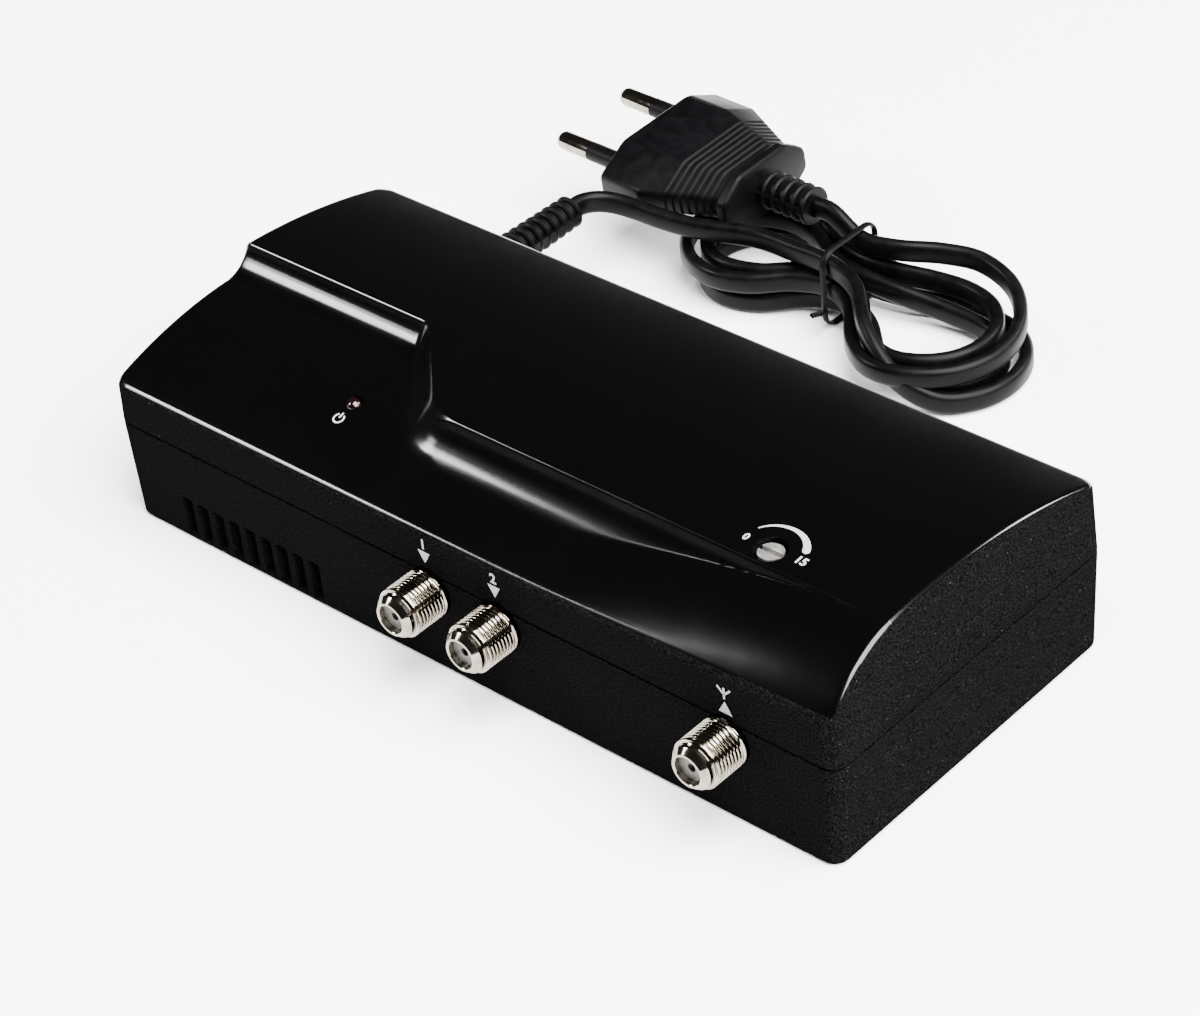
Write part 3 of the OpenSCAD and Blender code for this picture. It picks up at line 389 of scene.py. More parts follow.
def hank_point(t):
    """Centre of the cord at t turns: runs between the waist and the lobes, and arcs round the lobes."""
    j = (t - math.floor(t)) * LOOP_RINGS
    half = RUN_RINGS + ARC_RINGS + RUN_RINGS
    left = 1 if j > half else 0
    k = j - half if left else j
    way = -1 if left else 1
    spiral = t if t < TURN_BACK else 2 * TURN_BACK - t
    second = ramp(t, *SECOND_SHAPE)
    level = 2 * (1 - ramp(t, *SINK)) + ramp(t, *CLIMB) + ramp(t, *LAST_CLIMB)
    tuck = TAIL_TUCK * ramp(t, *LEAVE)
    r = LOBE_R[left] - LOBE_STEP[left] * spiral
    w = WAIST_HALF - WAIST_STEP * spiral
    reach = LOBE_REACH[left] + LONG_SECOND[left] * second
    lean = LEAN_FIRST[left] + (LEAN_SECOND[left] - LEAN_FIRST[left]) * second
    if RUN_RINGS < k < RUN_RINGS + ARC_RINGS:
        angle = math.radians(-90 + 180 * (k - RUN_RINGS) / ARC_RINGS)
        opened = 1.0
        x, y = reach + r * math.cos(angle), r * math.sin(angle)
    else:
        out = k <= RUN_RINGS
        a = k / RUN_RINGS if out else (2 * RUN_RINGS + ARC_RINGS - k) / RUN_RINGS
        opened = ease(a)
        x, y = reach * a, (-1 if out else 1) * (w + (r - w) * opened)
    return (
        HANK_AT[0] + way * x,
        HANK_AT[1] + way * y + lean * opened - tuck,
        FLOOR_GAP + CORD_W / 2 + LAYER * level + WAIST_LIFT * (1 - opened),
    )


def plug_matrix():
    roll, pitch, yaw = (math.radians(a) for a in PLUG_TURN)
    turn = Matrix.Rotation(yaw, 4, "Z") @ Matrix.Rotation(pitch, 4, "Y") @ Matrix.Rotation(roll, 4, "X")
    return Matrix.Translation(PLUG_END) @ turn @ Matrix.Diagonal((-1, 1, 1, 1))


def smooth_path(points, step):
    """Evenly spaced points on a Catmull-Rom curve through the given ones."""
    before = 2 * np.array(points[0]) - points[1]
    after = 2 * np.array(points[-1]) - points[-2]
    p = np.array([before, *points, after], float)
    curve = []
    for a, b, c, d in zip(p, p[1:], p[2:], p[3:]):
        for t in np.linspace(0, 1, 12, endpoint=False):
            curve.append(0.5 * (2 * b + (c - a) * t + (2 * a - 5 * b + 4 * c - d) * t**2
                                + (3 * b - a - 3 * c + d) * t**3))
    curve = np.array([*curve, p[-2]])
    along = np.concatenate([[0], np.cumsum(np.linalg.norm(np.diff(curve, axis=0), axis=1))])
    even = np.linspace(0, along[-1], round(along[-1] / step) + 1)
    return np.stack([np.interp(even, along, curve[:, i]) for i in range(3)], axis=1)


def cord_section(sides=20):
    """Flat cord: two half circles joined by straight sides."""
    section = []
    half = (CORD_W - CORD_T) / 2
    for i in range(sides):
        a = 2 * math.pi * (i + 0.5) / sides
        x, z = math.cos(a), math.sin(a)
        section.append((CORD_T / 2 * x, CORD_T / 2 * z + half * (1 if z > 0 else -1)))
    return section


def add_cord(material):
    start = (RELIEF_AT[0], HALF_W + RELIEF_L, RELIEF_AT[2])
    first = np.array(hank_point(0.0))
    into = [tuple(first - (x, 0, 0)) for x in INTO_HANK]
    rings = int(HANK_TURNS * LOOP_RINGS)
    loops = [hank_point(min(i / LOOP_RINGS, HANK_TURNS - 0.0001)) for i in range(rings + 1)]
    tail = [tuple(plug_matrix() @ Vector((-x, 0, 0))) for x in INTO_PLUG]
    path = smooth_path([start, *LEAD_ROUTE, *into, *loops, *tail], CORD_STEP)
    along = np.gradient(path, axis=0)
    along /= np.linalg.norm(along, axis=1)[:, None]
    section = cord_section()
    skin = []
    for p, d in zip(path, along):
        across = np.cross(d, (0, 0, 1))
        across /= np.linalg.norm(across)
        up = np.cross(across, d)
        skin.append([tuple(p + across * x + up * z) for x, z in section])
    cord = add_piece("lead", loft(skin), material, ("cord_lead", "cord_hank"))
    return cord, path


def strain_relief():
    """Flexible sleeve: a flange each side of the wall, then fins on a core, joined by two side bars."""
    flange, neck, core, collar = RELIEF_FLANGE_R, RELIEF_NECK_R, RELIEF_CORE_R, RELIEF_COLLAR
    profile = [(flange, -WALL - 2), (flange, -WALL), (neck, -WALL), (neck, 0)]
    profile += [(flange - 0.3, 0), (flange, 0.3), (flange, collar - 0.5)]
    profile += [(flange - 0.5, collar), (core, collar)]
    pitch = (RELIEF_L - collar) / FIN_COUNT
    soft = FIN_SOFT
    for i in range(FIN_COUNT):
        r = FIN_R - FIN_TAPER * i / (FIN_COUNT - 1)
        end = collar + (i + 1) * pitch
        h = end - FIN_T
        profile += [(core, h), (r - soft, h), (r, h + soft), (r, end - soft), (r - soft, end)]
        if i < FIN_COUNT - 1:
            profile.append((core, end))
    sleeve = lathe(profile, 40)
    bars = []
    for side in (-1, 1):
        x = side * (core + 0.25)
        bars.append(box((x - 0.55, -0.8, collar - 0.2), (x + 0.55, 0.8, RELIEF_L - 0.4)))
    place = Matrix.Translation(RELIEF_AT) @ Matrix.Rotation(math.radians(-90), 4, "X")
    return moved(merge(sleeve, *bars), place)


def tie_band():
    """Twist tie: a thin band round the waist with its two ends twisted together at the front."""
    t, w, gap = 0.8, 1.6, 0.4
    y0 = HANK_AT[1] - WAIST_HALF - CORD_T / 2 - gap - t / 2
    y1 = HANK_AT[1] + WAIST_HALF + CORD_T / 2 + gap - 0.6 + t / 2
    z0, z1 = t / 2, FLOOR_GAP + WAIST_LIFT + 2 * LAYER + CORD_W + gap + t / 2
    r = 3.0
    route = []
    corners = [(y1 - r, z1 - r), (y0 + r, z1 - r), (y0 + r, z0 + r), (y1 - r, z0 + r)]
    for k, (cy, cz) in enumerate(corners):
        for i in range(9):
            a = math.radians(90 * k + 90 * i / 8)
            route.append((cy + r * math.cos(a), cz + r * math.sin(a), math.cos(a), math.sin(a)))
    section = [(-0.5, 0.0), (-0.36, -0.32), (0.0, -0.5), (0.36, -0.32)]
    section += [(-u, -v) for u, v in section]
    loops = []
    for y, z, ny, nz in route:
        loops.append([(HANK_AT[0] + u * w, y + v * t * ny, z + v * t * nz) for u, v in section])
    band = loft(loops, ring=True)
    twist, twist_l, twist_turn, steps = [], 4.2, 900, 24
    pair = [(0.62 * u, 0.34 * v) for u, v in section]
    for i in range(steps + 1):
        h, a = twist_l * i / steps, math.radians(twist_turn * i / steps)
        c, d = 2 * math.cos(a), 2 * math.sin(a)
        twist.append([(u * c - v * d, u * d + v * c, h) for u, v in pair])
    place = Matrix.Translation((HANK_AT[0], y0, 4.0)) @ Matrix.Rotation(math.radians(70), 4, "X")
    return merge(band, moved(loft(twist), place))


# Plug
def plug_loop(x, w, t, inset=0.0):
    """Six-sided section with rounded corners at x along the plug, moved in by inset."""
    w, t = w - 2 * inset, t - 2 * inset
    edge = max(PLUG_EDGE_T - 0.8 * inset, 1.0)
    flat = PLUG_FLAT * w / 2
    corners = [(w / 2, -edge / 2), (w / 2, edge / 2), (flat, t / 2), (-flat, t / 2)]
    corners += [(-y, -z) for y, z in corners]
    r = PLUG_CORNER_R
    loop = []
    for before, at, after in zip(corners[-1:] + corners, corners, corners[1:] + corners[:1]):
        p, a, b = Vector(at), Vector(before), Vector(after)
        start, end = p + (a - p).normalized() * r, p + (b - p).normalized() * r
        for s in (0.0, 0.33, 0.67, 1.0):
            q = start * (1 - s) ** 2 + p * 2 * s * (1 - s) + end * s * s
            loop.append((x, q.x, q.y))
    return loop


def plug_shape():
    """Collar, ribbed grip and block, with softened ends."""
    face = PLUG_RELIEF_L + PLUG_L
    start, grip, block = PLUG_RELIEF_L, PLUG_RELIEF_L + COLLAR_L, face - BLOCK_L
    loops = []
    for d, inset in ((0, 0.8), (0.25, 0.3), (0.8, 0.0)):
        loops.append(plug_loop(start + d, COLLAR_W, COLLAR_T, inset))
    for d, inset in ((0.7, 0.0), (0.2, 0.3), (0.0, 0.8)):
        loops.append(plug_loop(grip - d, COLLAR_W, COLLAR_T, inset))
    span = block - grip
    stations = [(0.2, 0.0)]
    for i in range(RIB_COUNT):
        h = 1.0 + i * RIB_PITCH
        stations += [(h, 0.0), (h + 0.3, RIB_DEPTH), (h + 0.65, RIB_DEPTH), (h + 0.95, 0.0)]
    stations += [(span - 0.5, 0.0), (span, 0.0)]
    for h, inset in stations:
        s = h / span
        w, t = GRIP_W + (PLUG_W - GRIP_W) * s, GRIP_T + (PLUG_T - GRIP_T) * s
        loops.append(plug_loop(grip + h, w, t, inset))
    for x, inset in ((block + 0.5, 0.0), (face - 0.9, 0.0), (face - 0.3, 0.3), (face, 0.9)):
        loops.append(plug_loop(x, PLUG_W, PLUG_T, inset))
    return moved(loft(loops), plug_matrix())


def along_plug(x, y=0.0):
    """From a shape drawn up the local Z axis to one along the plug, x from its cord end."""
    return plug_matrix() @ Matrix.Translation((x, y, 0)) @ Matrix.Rotation(math.radians(90), 4, "Y")


def plug_relief_shape():
    """Fins on a core, joined by two side bars."""
    r, core, soft = PLUG_FIN_R, PLUG_CORE_R, FIN_SOFT
    profile = []
    for i in range(PLUG_FINS):
        h = i * PLUG_RELIEF_L / PLUG_FINS
        end = h + FIN_T
        profile += [(r - soft, h), (r, h + soft), (r, end - soft), (r - soft, end), (core, end)]
        profile.append((core, (i + 1) * PLUG_RELIEF_L / PLUG_FINS))
    bars = []
    for side in (-1, 1):
        y = side * PLUG_BAR_Y
        bars.append(box((-0.8, y - 0.5, 0.3), (0.8, y + 0.5, PLUG_RELIEF_L)))
    return moved(merge(lathe(profile, 40), *bars), along_plug(0))


def pins_shape():
    core = PIN_R - 0.6
    profile = [(core, 0), (core, SLEEVE_L), (PIN_R, SLEEVE_L), (PIN_R, PIN_L - 1.4)]
    profile += [(PIN_R - 0.12, PIN_L - 0.9), (PIN_R - 0.45, PIN_L - 0.35), (PIN_R - 1.0, PIN_L)]
    face = PLUG_RELIEF_L + PLUG_L
    return merge(*[moved(lathe(profile, 32), along_plug(face, s * PIN_GAP / 2)) for s in (-1, 1)])


def sleeves_shape():
    inner = PIN_R - 0.55
    profile = [(inner, 0), (PIN_R, 0), (PIN_R, SLEEVE_L - 0.15)]
    profile += [(PIN_R - 0.15, SLEEVE_L), (inner, SLEEVE_L)]
    face = PLUG_RELIEF_L + PLUG_L
    rings = loft([circle(r, h, 32) for r, h in profile], ring=True)
    return merge(*[moved(rings, along_plug(face, s * PIN_GAP / 2)) for s in (-1, 1)])


# Cover
def soft_max(a, b, k):
    h = np.clip(0.5 + 0.5 * (a - b) / k, 0, 1)
    return b + (a - b) * h + k * h * (1 - h)


def soft_min(a, b, k):
    return -soft_max(-a, -b, k)


def round_z(y, crown_y, crown_z, r):
    return crown_z - r + np.sqrt(r * r - (y - crown_y) ** 2)


def arch_z(y):
    return round_z(y, ARCH_Y, CROWN_Z, ARCH_R)


def shoulder_z(y):
    tilt = math.asin((SHOULDER_Y - ARCH_Y) / ARCH_R)
    reach = ARCH_R - SHOULDER_R + SHOULDER_LIFT
    middle = ARCH_Y + reach * math.sin(tilt)
    top = CROWN_Z - ARCH_R + reach * math.cos(tilt) + SHOULDER_R
    return round_z(np.minimum(y, middle), middle, top, SHOULDER_R)


def behind(x, y, at, slant):
    """Distance behind a line through a place, which runs along the case, turned forward by slant."""
    a = math.radians(slant)
    return (x - at[0]) * math.sin(a) + (y - at[1]) * math.cos(a)


def panel_z(y):
    return round_z(y, PANEL_Y, CROWN_Z - PANEL_DROP, PANEL_R)


def hollow_z(y, foot, r, lip):
    """Height of a hollow step along the case, of radius r from its foot on the panel up to its steep
    face and its lip. Before its foot it dips below the panel."""
    low = (PANEL_Y - foot) / PANEL_R
    flat = math.sqrt(1 - low * low)
    steep = HOLLOW_END / math.sqrt(1 - HOLLOW_END * HOLLOW_END)
    across = low + (y - foot) / r
    bend = np.clip(across, low, HOLLOW_END)
    before = np.minimum(across - low, 0)
    beyond = np.maximum(across - HOLLOW_END, 0)
    rise = flat - np.sqrt(1 - bend * bend) + steep * beyond + low / flat * before - before * before
    return soft_min(panel_z(foot) + r * rise, arch_z(lip) + LIP_SLOPE * (y - lip), CREST)


def cover_z(x, y):
    """Height of the cover's outer surface: the arch and its shoulder behind the steps, the panel before
    them. To the right, the panel rises little by little into the shoulder."""
    along = np.clip((STEP_BACK - y) / (STEP_BACK + STEP_FRONT), 0, 1)
    slope = TURN_SLOPE[0] + (TURN_SLOPE[1] - TURN_SLOPE[0]) * along
    turn = arch_z(STEP_BACK) + slope * behind(x, y, (TURN_X, STEP_BACK), TURN_SLANT)
    front = soft_min(turn, hollow_z(y, FRONT_FOOT, FRONT_R, FRONT_LIP), NOSE)
    steps = soft_max(hollow_z(y, BACK_FOOT, BACK_R, BACK_LIP), front, CREASE)
    roof = soft_min(arch_z(y), shoulder_z(y), ROOF_BLEND)
    risen = np.clip((x - RISE_FROM) / (HALF_L - RISE_FROM), 0, 1)
    panel = panel_z(y) + (roof - panel_z(y)) * risen * risen * (3 - 2 * risen)
    return soft_max(panel, soft_min(roof, steps, CREST), np.interp(x, FOOT_X, FOOT_BLEND))


def spaced(half, edge, stretches):
    """Places from -half to half: close together over the rounded edges, and between them at the spacing
    of each stretch, given as (its end, spacing) from left to right or from front to back."""
    turns = 8
    rounded = [edge * (1 - math.cos(i * math.pi / 2 / turns)) for i in range(turns)]
    places, start = [], edge - half
    for end, spacing in stretches:
        end = min(end, half - edge)
        places += list(np.linspace(start, end, max(2, round((end - start) / spacing)), endpoint=False))
        start = end
    first, last = [d - half for d in rounded], [half - d for d in reversed(rounded)]
    return np.array(first + places + [half - edge] + last)


def rounded_grid(half_x, half_y, r, edge):
    """Grid of places in a rectangle with round corners, and each one's distance from the outline."""
    across = spaced(HALF_L, edge, GRID_X) * (half_x / HALF_L)
    deep = spaced(HALF_W, edge, GRID_Y) * (half_y / HALF_W)
    x, y = np.meshgrid(across, deep, indexing="ij")
    a = np.clip((abs(x) - half_x + r) / r, 0, 1)
    b = np.clip((abs(y) - half_y + r) / r, 0, 1)
    corner = (a > 0) & (b > 0)
    u, v = a * np.sqrt(1 - b * b / 2), b * np.sqrt(1 - a * a / 2)
    inside = np.where(corner, r * (1 - np.hypot(u, v)), np.minimum(half_x - abs(x), half_y - abs(y)))
    x = np.where(corner, np.sign(x) * (half_x - r + r * u), x)
    y = np.where(corner, np.sign(y) * (half_y - r + r * v), y)
    return x, y, np.maximum(inside, 0)


def cover_skin(inset):
    """One skin of the cover, from its top down to the parting line, and its lowest loop's indexes."""
    edge = EDGE_R
    x, y, inside = rounded_grid(HALF_L - inset, HALF_W - inset, max(CORNER_R - inset, 0.8), edge)
    dip = np.clip(edge - inside, 0, edge)
    roll = edge - np.sqrt(edge * edge - dip * dip)
    near_end = np.clip((abs(x) - HALF_L + LEAN_REACH) / LEAN_REACH, 0, 1)

    def height(x):
        return cover_z(x, y) - inset - roll

    lean = COVER_LEAN * np.sign(x) * near_end
    x = x - lean * (height(x) - SEAM_Z)
    z = height(x)
    points = list(zip(x.ravel(), y.ravel(), z.ravel()))
    nx, ny = x.shape

    def at(i, j):
        return i * ny + j

    faces = [
        (at(i, j), at(i + 1, j), at(i + 1, j + 1), at(i, j + 1))
        for i in range(nx - 1) for j in range(ny - 1)
    ]
    loop = [at(i, 0) for i in range(nx - 1)] + [at(nx - 1, j) for j in range(ny - 1)]
    loop += [at(i, ny - 1) for i in range(nx - 1, 0, -1)] + [at(0, j) for j in range(ny - 1, 0, -1)]
    top_edge = [(points[i], lean.ravel()[i]) for i in loop]
    chamfer = 0.2 if inset == 0 else 0.0
    levels = [(0.3, 0.0), (0.6, 0.0), (1 - chamfer / 10, 0.0), (1.0, chamfer)]
    for share, draw in levels:
        start = len(points)
        for (px, py, pz), lx in top_edge:
            drop = share * (pz - SEAM_Z)
            wx = px + lx * drop
            points.append((wx * (1 - draw / HALF_L), py * (1 - draw / HALF_W), pz - drop))
        lower = list(range(start, len(points)))
        for k in range(len(loop)):
            n = (k + 1) % len(loop)
            faces.append((lower[k], lower[n], loop[n], loop[k]))
        loop = lower
    return (points, faces), loop


def cover_shape():
    outer, outer_rim = cover_skin(0)
    inner, inner_rim = cover_skin(WALL)
    shift = len(outer[0])
    points, faces = merge(outer, (inner[0], [tuple(reversed(f)) for f in inner[1]]))
    for k in range(len(outer_rim)):
        n = (k + 1) % len(outer_rim)
        faces.append((outer_rim[k], inner_rim[k] + shift, inner_rim[n] + shift, outer_rim[n]))
    return points, faces


def add_cover(top, walls):
    """The cover with its openings. Its top has one material and its outer walls another."""
    above = CROWN_Z + 5
    holes = merge(rod(DIAL_AT, DIAL_HOLE_R, SEAM_Z, above), rod(LAMP_AT, LAMP_HOLE_R, SEAM_Z, above))
    openings = merge(*[socket_hole(x) for x in SOCKET_X.values()], relief_hole())
    cover = add_piece("cover", cover_shape(), top, ("top_cover",), angle=32,
                      cutters=merge(holes, openings))
    cover.data.materials.append(walls)
    for face in cover.data.polygons:
        steep = face.normal.z < WALL_STEEP
        outside = abs(face.center.y / MM) > HALF_W - EDGE_R or abs(face.normal.x) > END_STEEP
        face.material_index = 1 if steep and outside else 0


def socket_hole(x):
    place = Matrix.Translation((x, -HALF_W, SOCKET_Z)) @ Matrix.Rotation(math.radians(90), 4, "X")
    return moved(lathe([(THREAD_R, -WALL - 1), (THREAD_R, 1)], 64), place)


def relief_hole():
    place = Matrix.Translation(RELIEF_AT) @ Matrix.Rotation(math.radians(-90), 4, "X")
    return moved(lathe([(RELIEF_NECK_R + 0.2, -WALL - 1), (RELIEF_NECK_R + 0.2, 1)], 64), place)


# Tray
def tray_loop(inset, z):
    """Round-cornered outline of the tray at height z, moved in by inset."""
    r = max(CORNER_R - inset, 0.6)
    half_x = HALF_L - TRAY_LEAN * (SEAM_Z - z) - inset
    half_y = HALF_W - inset
    loop = []
    for sx, sy, start in ((1, -1, -90), (1, 1, 0), (-1, 1, 90), (-1, -1, 180)):
        for i in range(CORNER_STEPS + 1):
            a = math.radians(start + 90 * i / CORNER_STEPS)
            loop.append((sx * (half_x - r) + r * math.cos(a), sy * (half_y - r) + r * math.sin(a), z))
    return loop


def tray_shape():
    loops = []
    for i in range(6):
        a = math.radians(90 * i / 5)
        loops.append(tray_loop(FOOT_R * (1 - math.sin(a)), FOOT_R * (1 - math.cos(a))))
    top = SEAM_Z - GROOVE
    rim = [(0, top - 0.15), (0.15, top), (GROOVE, top), (GROOVE, SEAM_Z)]
    loops += [tray_loop(inset, z) for inset, z in (*rim, (WALL, SEAM_Z), (WALL, FLOOR_T))]
    return loft(loops)


def vent_shape(x):
    """One slot through the front wall, with eased upper corners."""
    right, low = x + VENT_SLOT, VENT_H - VENT_EASE
    side = [(right, low), (right - VENT_EASE, VENT_H), (x + VENT_EASE, VENT_H), (x, low)]
    side += [(x, VENT_SILL), (right, VENT_SILL)]
    return loft([[(px, y, pz) for px, pz in side] for y in (WALL + 0.1 - HALF_W, -HALF_W - 1)])


def add_tray(material):
    vents = [vent_shape(VENT_START - HALF_L + i * VENT_PITCH) for i in range(VENT_COUNT)]
    bosses = [(sx * (HALF_L - BOSS_IN[0]), sy * (HALF_W - BOSS_IN[1])) for sx in (-1, 1) for sy in (-1, 1)]
    recesses = [rod(at, SCREW_RECESS_R, -1, SCREW_RECESS_H, 40) for at in bosses]
    holes = [socket_hole(x) for x in SOCKET_X.values()]
    tools = merge(*vents, *recesses, *holes, relief_hole())
    add_piece("tray", tray_shape(), material, ("base_tray",), cutters=tools)


# Sockets
def socket_shape(x):
    """Threaded barrel with a conical nose and an open bore, and its block behind the wall."""
    count = BARREL_SIDES
    back = -WALL - BLOCK_GAP
    shank = THREAD_R - 0.2
    loops = [circle(r, h, count) for r, h in ((BORE_R, back), (shank, back), (shank, 0.05))]
    rows = THREAD_TURNS * THREAD_ROWS
    length = THREAD_TURNS * THREAD_PITCH
    for i in range(rows + 1):
        h = THREAD_START + length * i / rows
        fade = min(1.0, 6 * min(i, rows - i) / rows + 0.15)
        loop = []
        for px, py, _ in circle(1.0, 0.0, count):
            phase = (h / THREAD_PITCH - math.atan2(py, px) / (2 * math.pi)) % 1.0
            cut_in = min(1.0, max(0.0, (min(phase, 1 - phase) - 0.12) / 0.26))
            r = THREAD_R - THREAD_DEPTH * fade * cut_in
            loop.append((r * px, r * py, h))
        loops.append(loop)
    end = THREAD_START + length
    tail = [(NECK_R + 0.1, end + 0.08), (NECK_R, end + 0.2), (NECK_R, end + NECK_L)]
    tail += [(NOSE_R + 0.12, SOCKET_L - 0.12), (NOSE_R, SOCKET_L)]
    tail += [(BORE_R + 0.1, SOCKET_L), (BORE_R, SOCKET_L - 0.12)]
    loops += [circle(r, h, count) for r, h in tail]
    barrel = loft(loops, ring=True)
    low, high = -SOCKET_RISE, SEAM_Z - SOCKET_Z - BLOCK_GAP
    square, ring = [], []
    for px, py, _ in circle(1.0, 0.0, BLOCK_SIDES, math.pi / BLOCK_SIDES):
        reach = min(BLOCK_W / 2 / abs(px), (high if py > 0 else -low) / abs(py))
        square.append((reach * px, reach * py))
        ring.append((px * BORE_R, py * BORE_R))
    levels = [(ring, back), (ring, back - BLOCK_D), (square, back - BLOCK_D), (square, back)]
    block = loft([[(px, py, h) for px, py in loop] for loop, h in levels], ring=True)
    place = Matrix.Translation((x, -HALF_W, SOCKET_Z)) @ Matrix.Rotation(math.radians(90), 4, "X")
    return moved(merge(barrel, block), place)


# Printed marks, a thin layer of ink on the surface
INK = 0.04
LINE_W = 0.36
ARROW_W, ARROW_H = 2.8, 2.4
OUTPUT_ARROW_Z, OUTPUT_FIGURE_Z, OUTPUT_FIGURE_H = 24.2, 26.9, 2.0
AERIAL_ARROW_Z, MAST_Z, ARM_Z, ARM_X = 23.8, (25.6, 26.6, 27.9), (26.5, 27.2, 27.9), (0, 0.7, 1.4)
SCALE_R, SCALE_START, SCALE_SWEEP, SCALE_HALF, SCALE_ROUND = 5.9, 150, 130, (0.1, 0.62), 0.93
SYMBOL_R, SYMBOL_W, SYMBOL_BEFORE = 1.0, 0.32, 4.0


def on_front(u, v, d):
    return (u, -HALF_W - d, v)


def on_top(u, v, d):
    return (u, v, float(cover_z(np.array(u), np.array(v))) + d)


def ink(strip, surface):
    """Layer of ink between the two edges of a strip, given as pairs of places."""
    loops = []
    for a, b in strip:
        loops.append([surface(*a, -INK), surface(*b, -INK), surface(*b, INK), surface(*a, INK)])
    return loft(loops)


def triangle(x, z, w, h):
    """Triangle round a place, its tip at height h above its foot; a negative h points down."""
    foot, tip = z - h / 2, z + h / 2
    return [((x - w / 2, foot), (x + w / 2, foot)), ((x - 0.02, tip), (x + 0.02, tip))]


def stroke(points, width):
    """Strip of constant width along a line of places."""
    p = np.array(points, float)
    d = np.gradient(p, axis=0)
    d /= np.linalg.norm(d, axis=1)[:, None]
    side = np.stack([-d[:, 1], d[:, 0]], axis=1) * width / 2
    return [(tuple(a - s), tuple(a + s)) for a, s in zip(p, side)]


def arc(x, y, r, start, end, count=24):
    angles = np.radians(np.linspace(start, end, count))
    return [(x + r * math.cos(a), y + r * math.sin(a)) for a in angles]


def figures(text, at, height, surface):
    """Plain figures in the built-in typeface, centred on a place."""
    curve = bpy.data.curves.new("figures", "FONT")
    curve.body = text
    curve.align_x, curve.align_y = "CENTER", "CENTER"
    curve.size = height * 1.4
    curve.extrude = INK
    curve.offset = 0.035 * height
    maker = bpy.data.objects.new("figures", curve)
    bpy.context.scene.collection.objects.link(maker)
    mesh = bpy.data.meshes.new_from_object(maker.evaluated_get(bpy.context.evaluated_depsgraph_get()))
    points = [surface(at[0] + v.co.x, at[1] + v.co.y, v.co.z) for v in mesh.vertices]
    faces = [tuple(f.vertices) for f in mesh.polygons]
    bpy.data.objects.remove(maker)
    bpy.data.meshes.remove(mesh)
    return points, faces


def gain_scale():
    """Crescent that grows clockwise round the gain adjuster, with the figures of its ends."""
    x, y = DIAL_AT
    strip = []
    for s in np.linspace(0, 1, 40):
        a = math.radians(SCALE_START - SCALE_SWEEP * s)
        half = SCALE_HALF[0] + SCALE_HALF[1] * s
        if s >= SCALE_ROUND:
            half *= math.sqrt(max(0.0, 1 - ((s - SCALE_ROUND) / 0.07) ** 2)) + 0.02
        radii = (SCALE_R - half, SCALE_R + half)
        strip.append(tuple((x + q * math.cos(a), y + q * math.sin(a)) for q in radii))
    low = figures("0", (x - 5.4, y + 0.2), 1.5, on_top)
    high = figures("15", (x + 6.1, y + 0.3), 1.7, on_top)
    return merge(ink(strip, on_top), low, high)


def lamp_mark():
    """Plain power symbol before the lamp: a broken ring and a bar."""
    x, y = LAMP_AT[0], LAMP_AT[1] - SYMBOL_BEFORE
    ring = stroke(arc(x, y, SYMBOL_R, 125, 415), SYMBOL_W)
    bar = stroke([(x, y + d) for d in (0.1, 0.7, 1.3)], SYMBOL_W)
    return merge(ink(ring, on_top), ink(bar, on_top))


def socket_marks():
    """Arrows over the sockets, numbers over the outputs and a plain aerial sign over the input."""
    marks = []
    for name, text in (("output_1", "1"), ("output_2", "2")):
        x = SOCKET_X[name] - 0.3
        marks.append(ink(triangle(x, OUTPUT_ARROW_Z, ARROW_W, -ARROW_H), on_front))
        marks.append(figures(text, (x, OUTPUT_FIGURE_Z), OUTPUT_FIGURE_H, on_front))
    x = SOCKET_X["antenna"] + 0.2
    marks.append(ink(triangle(x, AERIAL_ARROW_Z, ARROW_W, ARROW_H), on_front))
    marks.append(ink(stroke([(x, z) for z in MAST_Z], LINE_W), on_front))
    for side in (-1, 1):
        arm = [(x + side * d, z) for d, z in zip(ARM_X, ARM_Z)]
        marks.append(ink(stroke(arm, LINE_W), on_front))
    return merge(*marks)


# Making, with the camera and the cord first
add_camera()
cord_pvc = vinyl("cord_vinyl", (0.001, 0.001, 0.0012), 0.3)
plug_pvc = vinyl("plug_vinyl", (0.001, 0.001, 0.0012), 0.36)
nickel = metal("bright_nickel", (0.15, 0.132, 0.105), (0.28, 0.255, 0.21), 0.08, relief=0.002)
walls_black = case_grain("case_grain")
top_black = case_satin("cover_satin")
ink_white = print_white("ink_white")

lead, lead_path = add_cord(cord_pvc)
add_piece("sleeve_strain_relief", strain_relief(), plug_pvc, ("strain_relief",))
tie_pvc = vinyl("tie_vinyl", (0.001, 0.001, 0.001), 0.4)
tie = add_piece("twist_tie", tie_band(), tie_pvc, ("hank_tie",))
plug = add_piece("plug_moulding", plug_shape(), plug_pvc, ("plug_body",), angle=28)
plug_sleeve = add_piece("plug_cord_relief", plug_relief_shape(), plug_pvc, ("plug_relief",))
pins = add_piece("mains_pins", pins_shape(), nickel, ("plug_pins",))
sleeves = add_piece("mains_pin_sleeves", sleeves_shape(), plug_pvc, ("pin_sleeves",))

add_tray(walls_black)
add_cover(top_black, walls_black)
for socket, place_x in SOCKET_X.items():
    add_piece(socket + "_barrel", socket_shape(place_x), nickel, (socket + "_shell",))
add_piece("socket_prints", socket_marks(), ink_white)
add_piece("gain_print", gain_scale(), ink_white)
add_piece("lamp_print", lamp_mark(), ink_white)

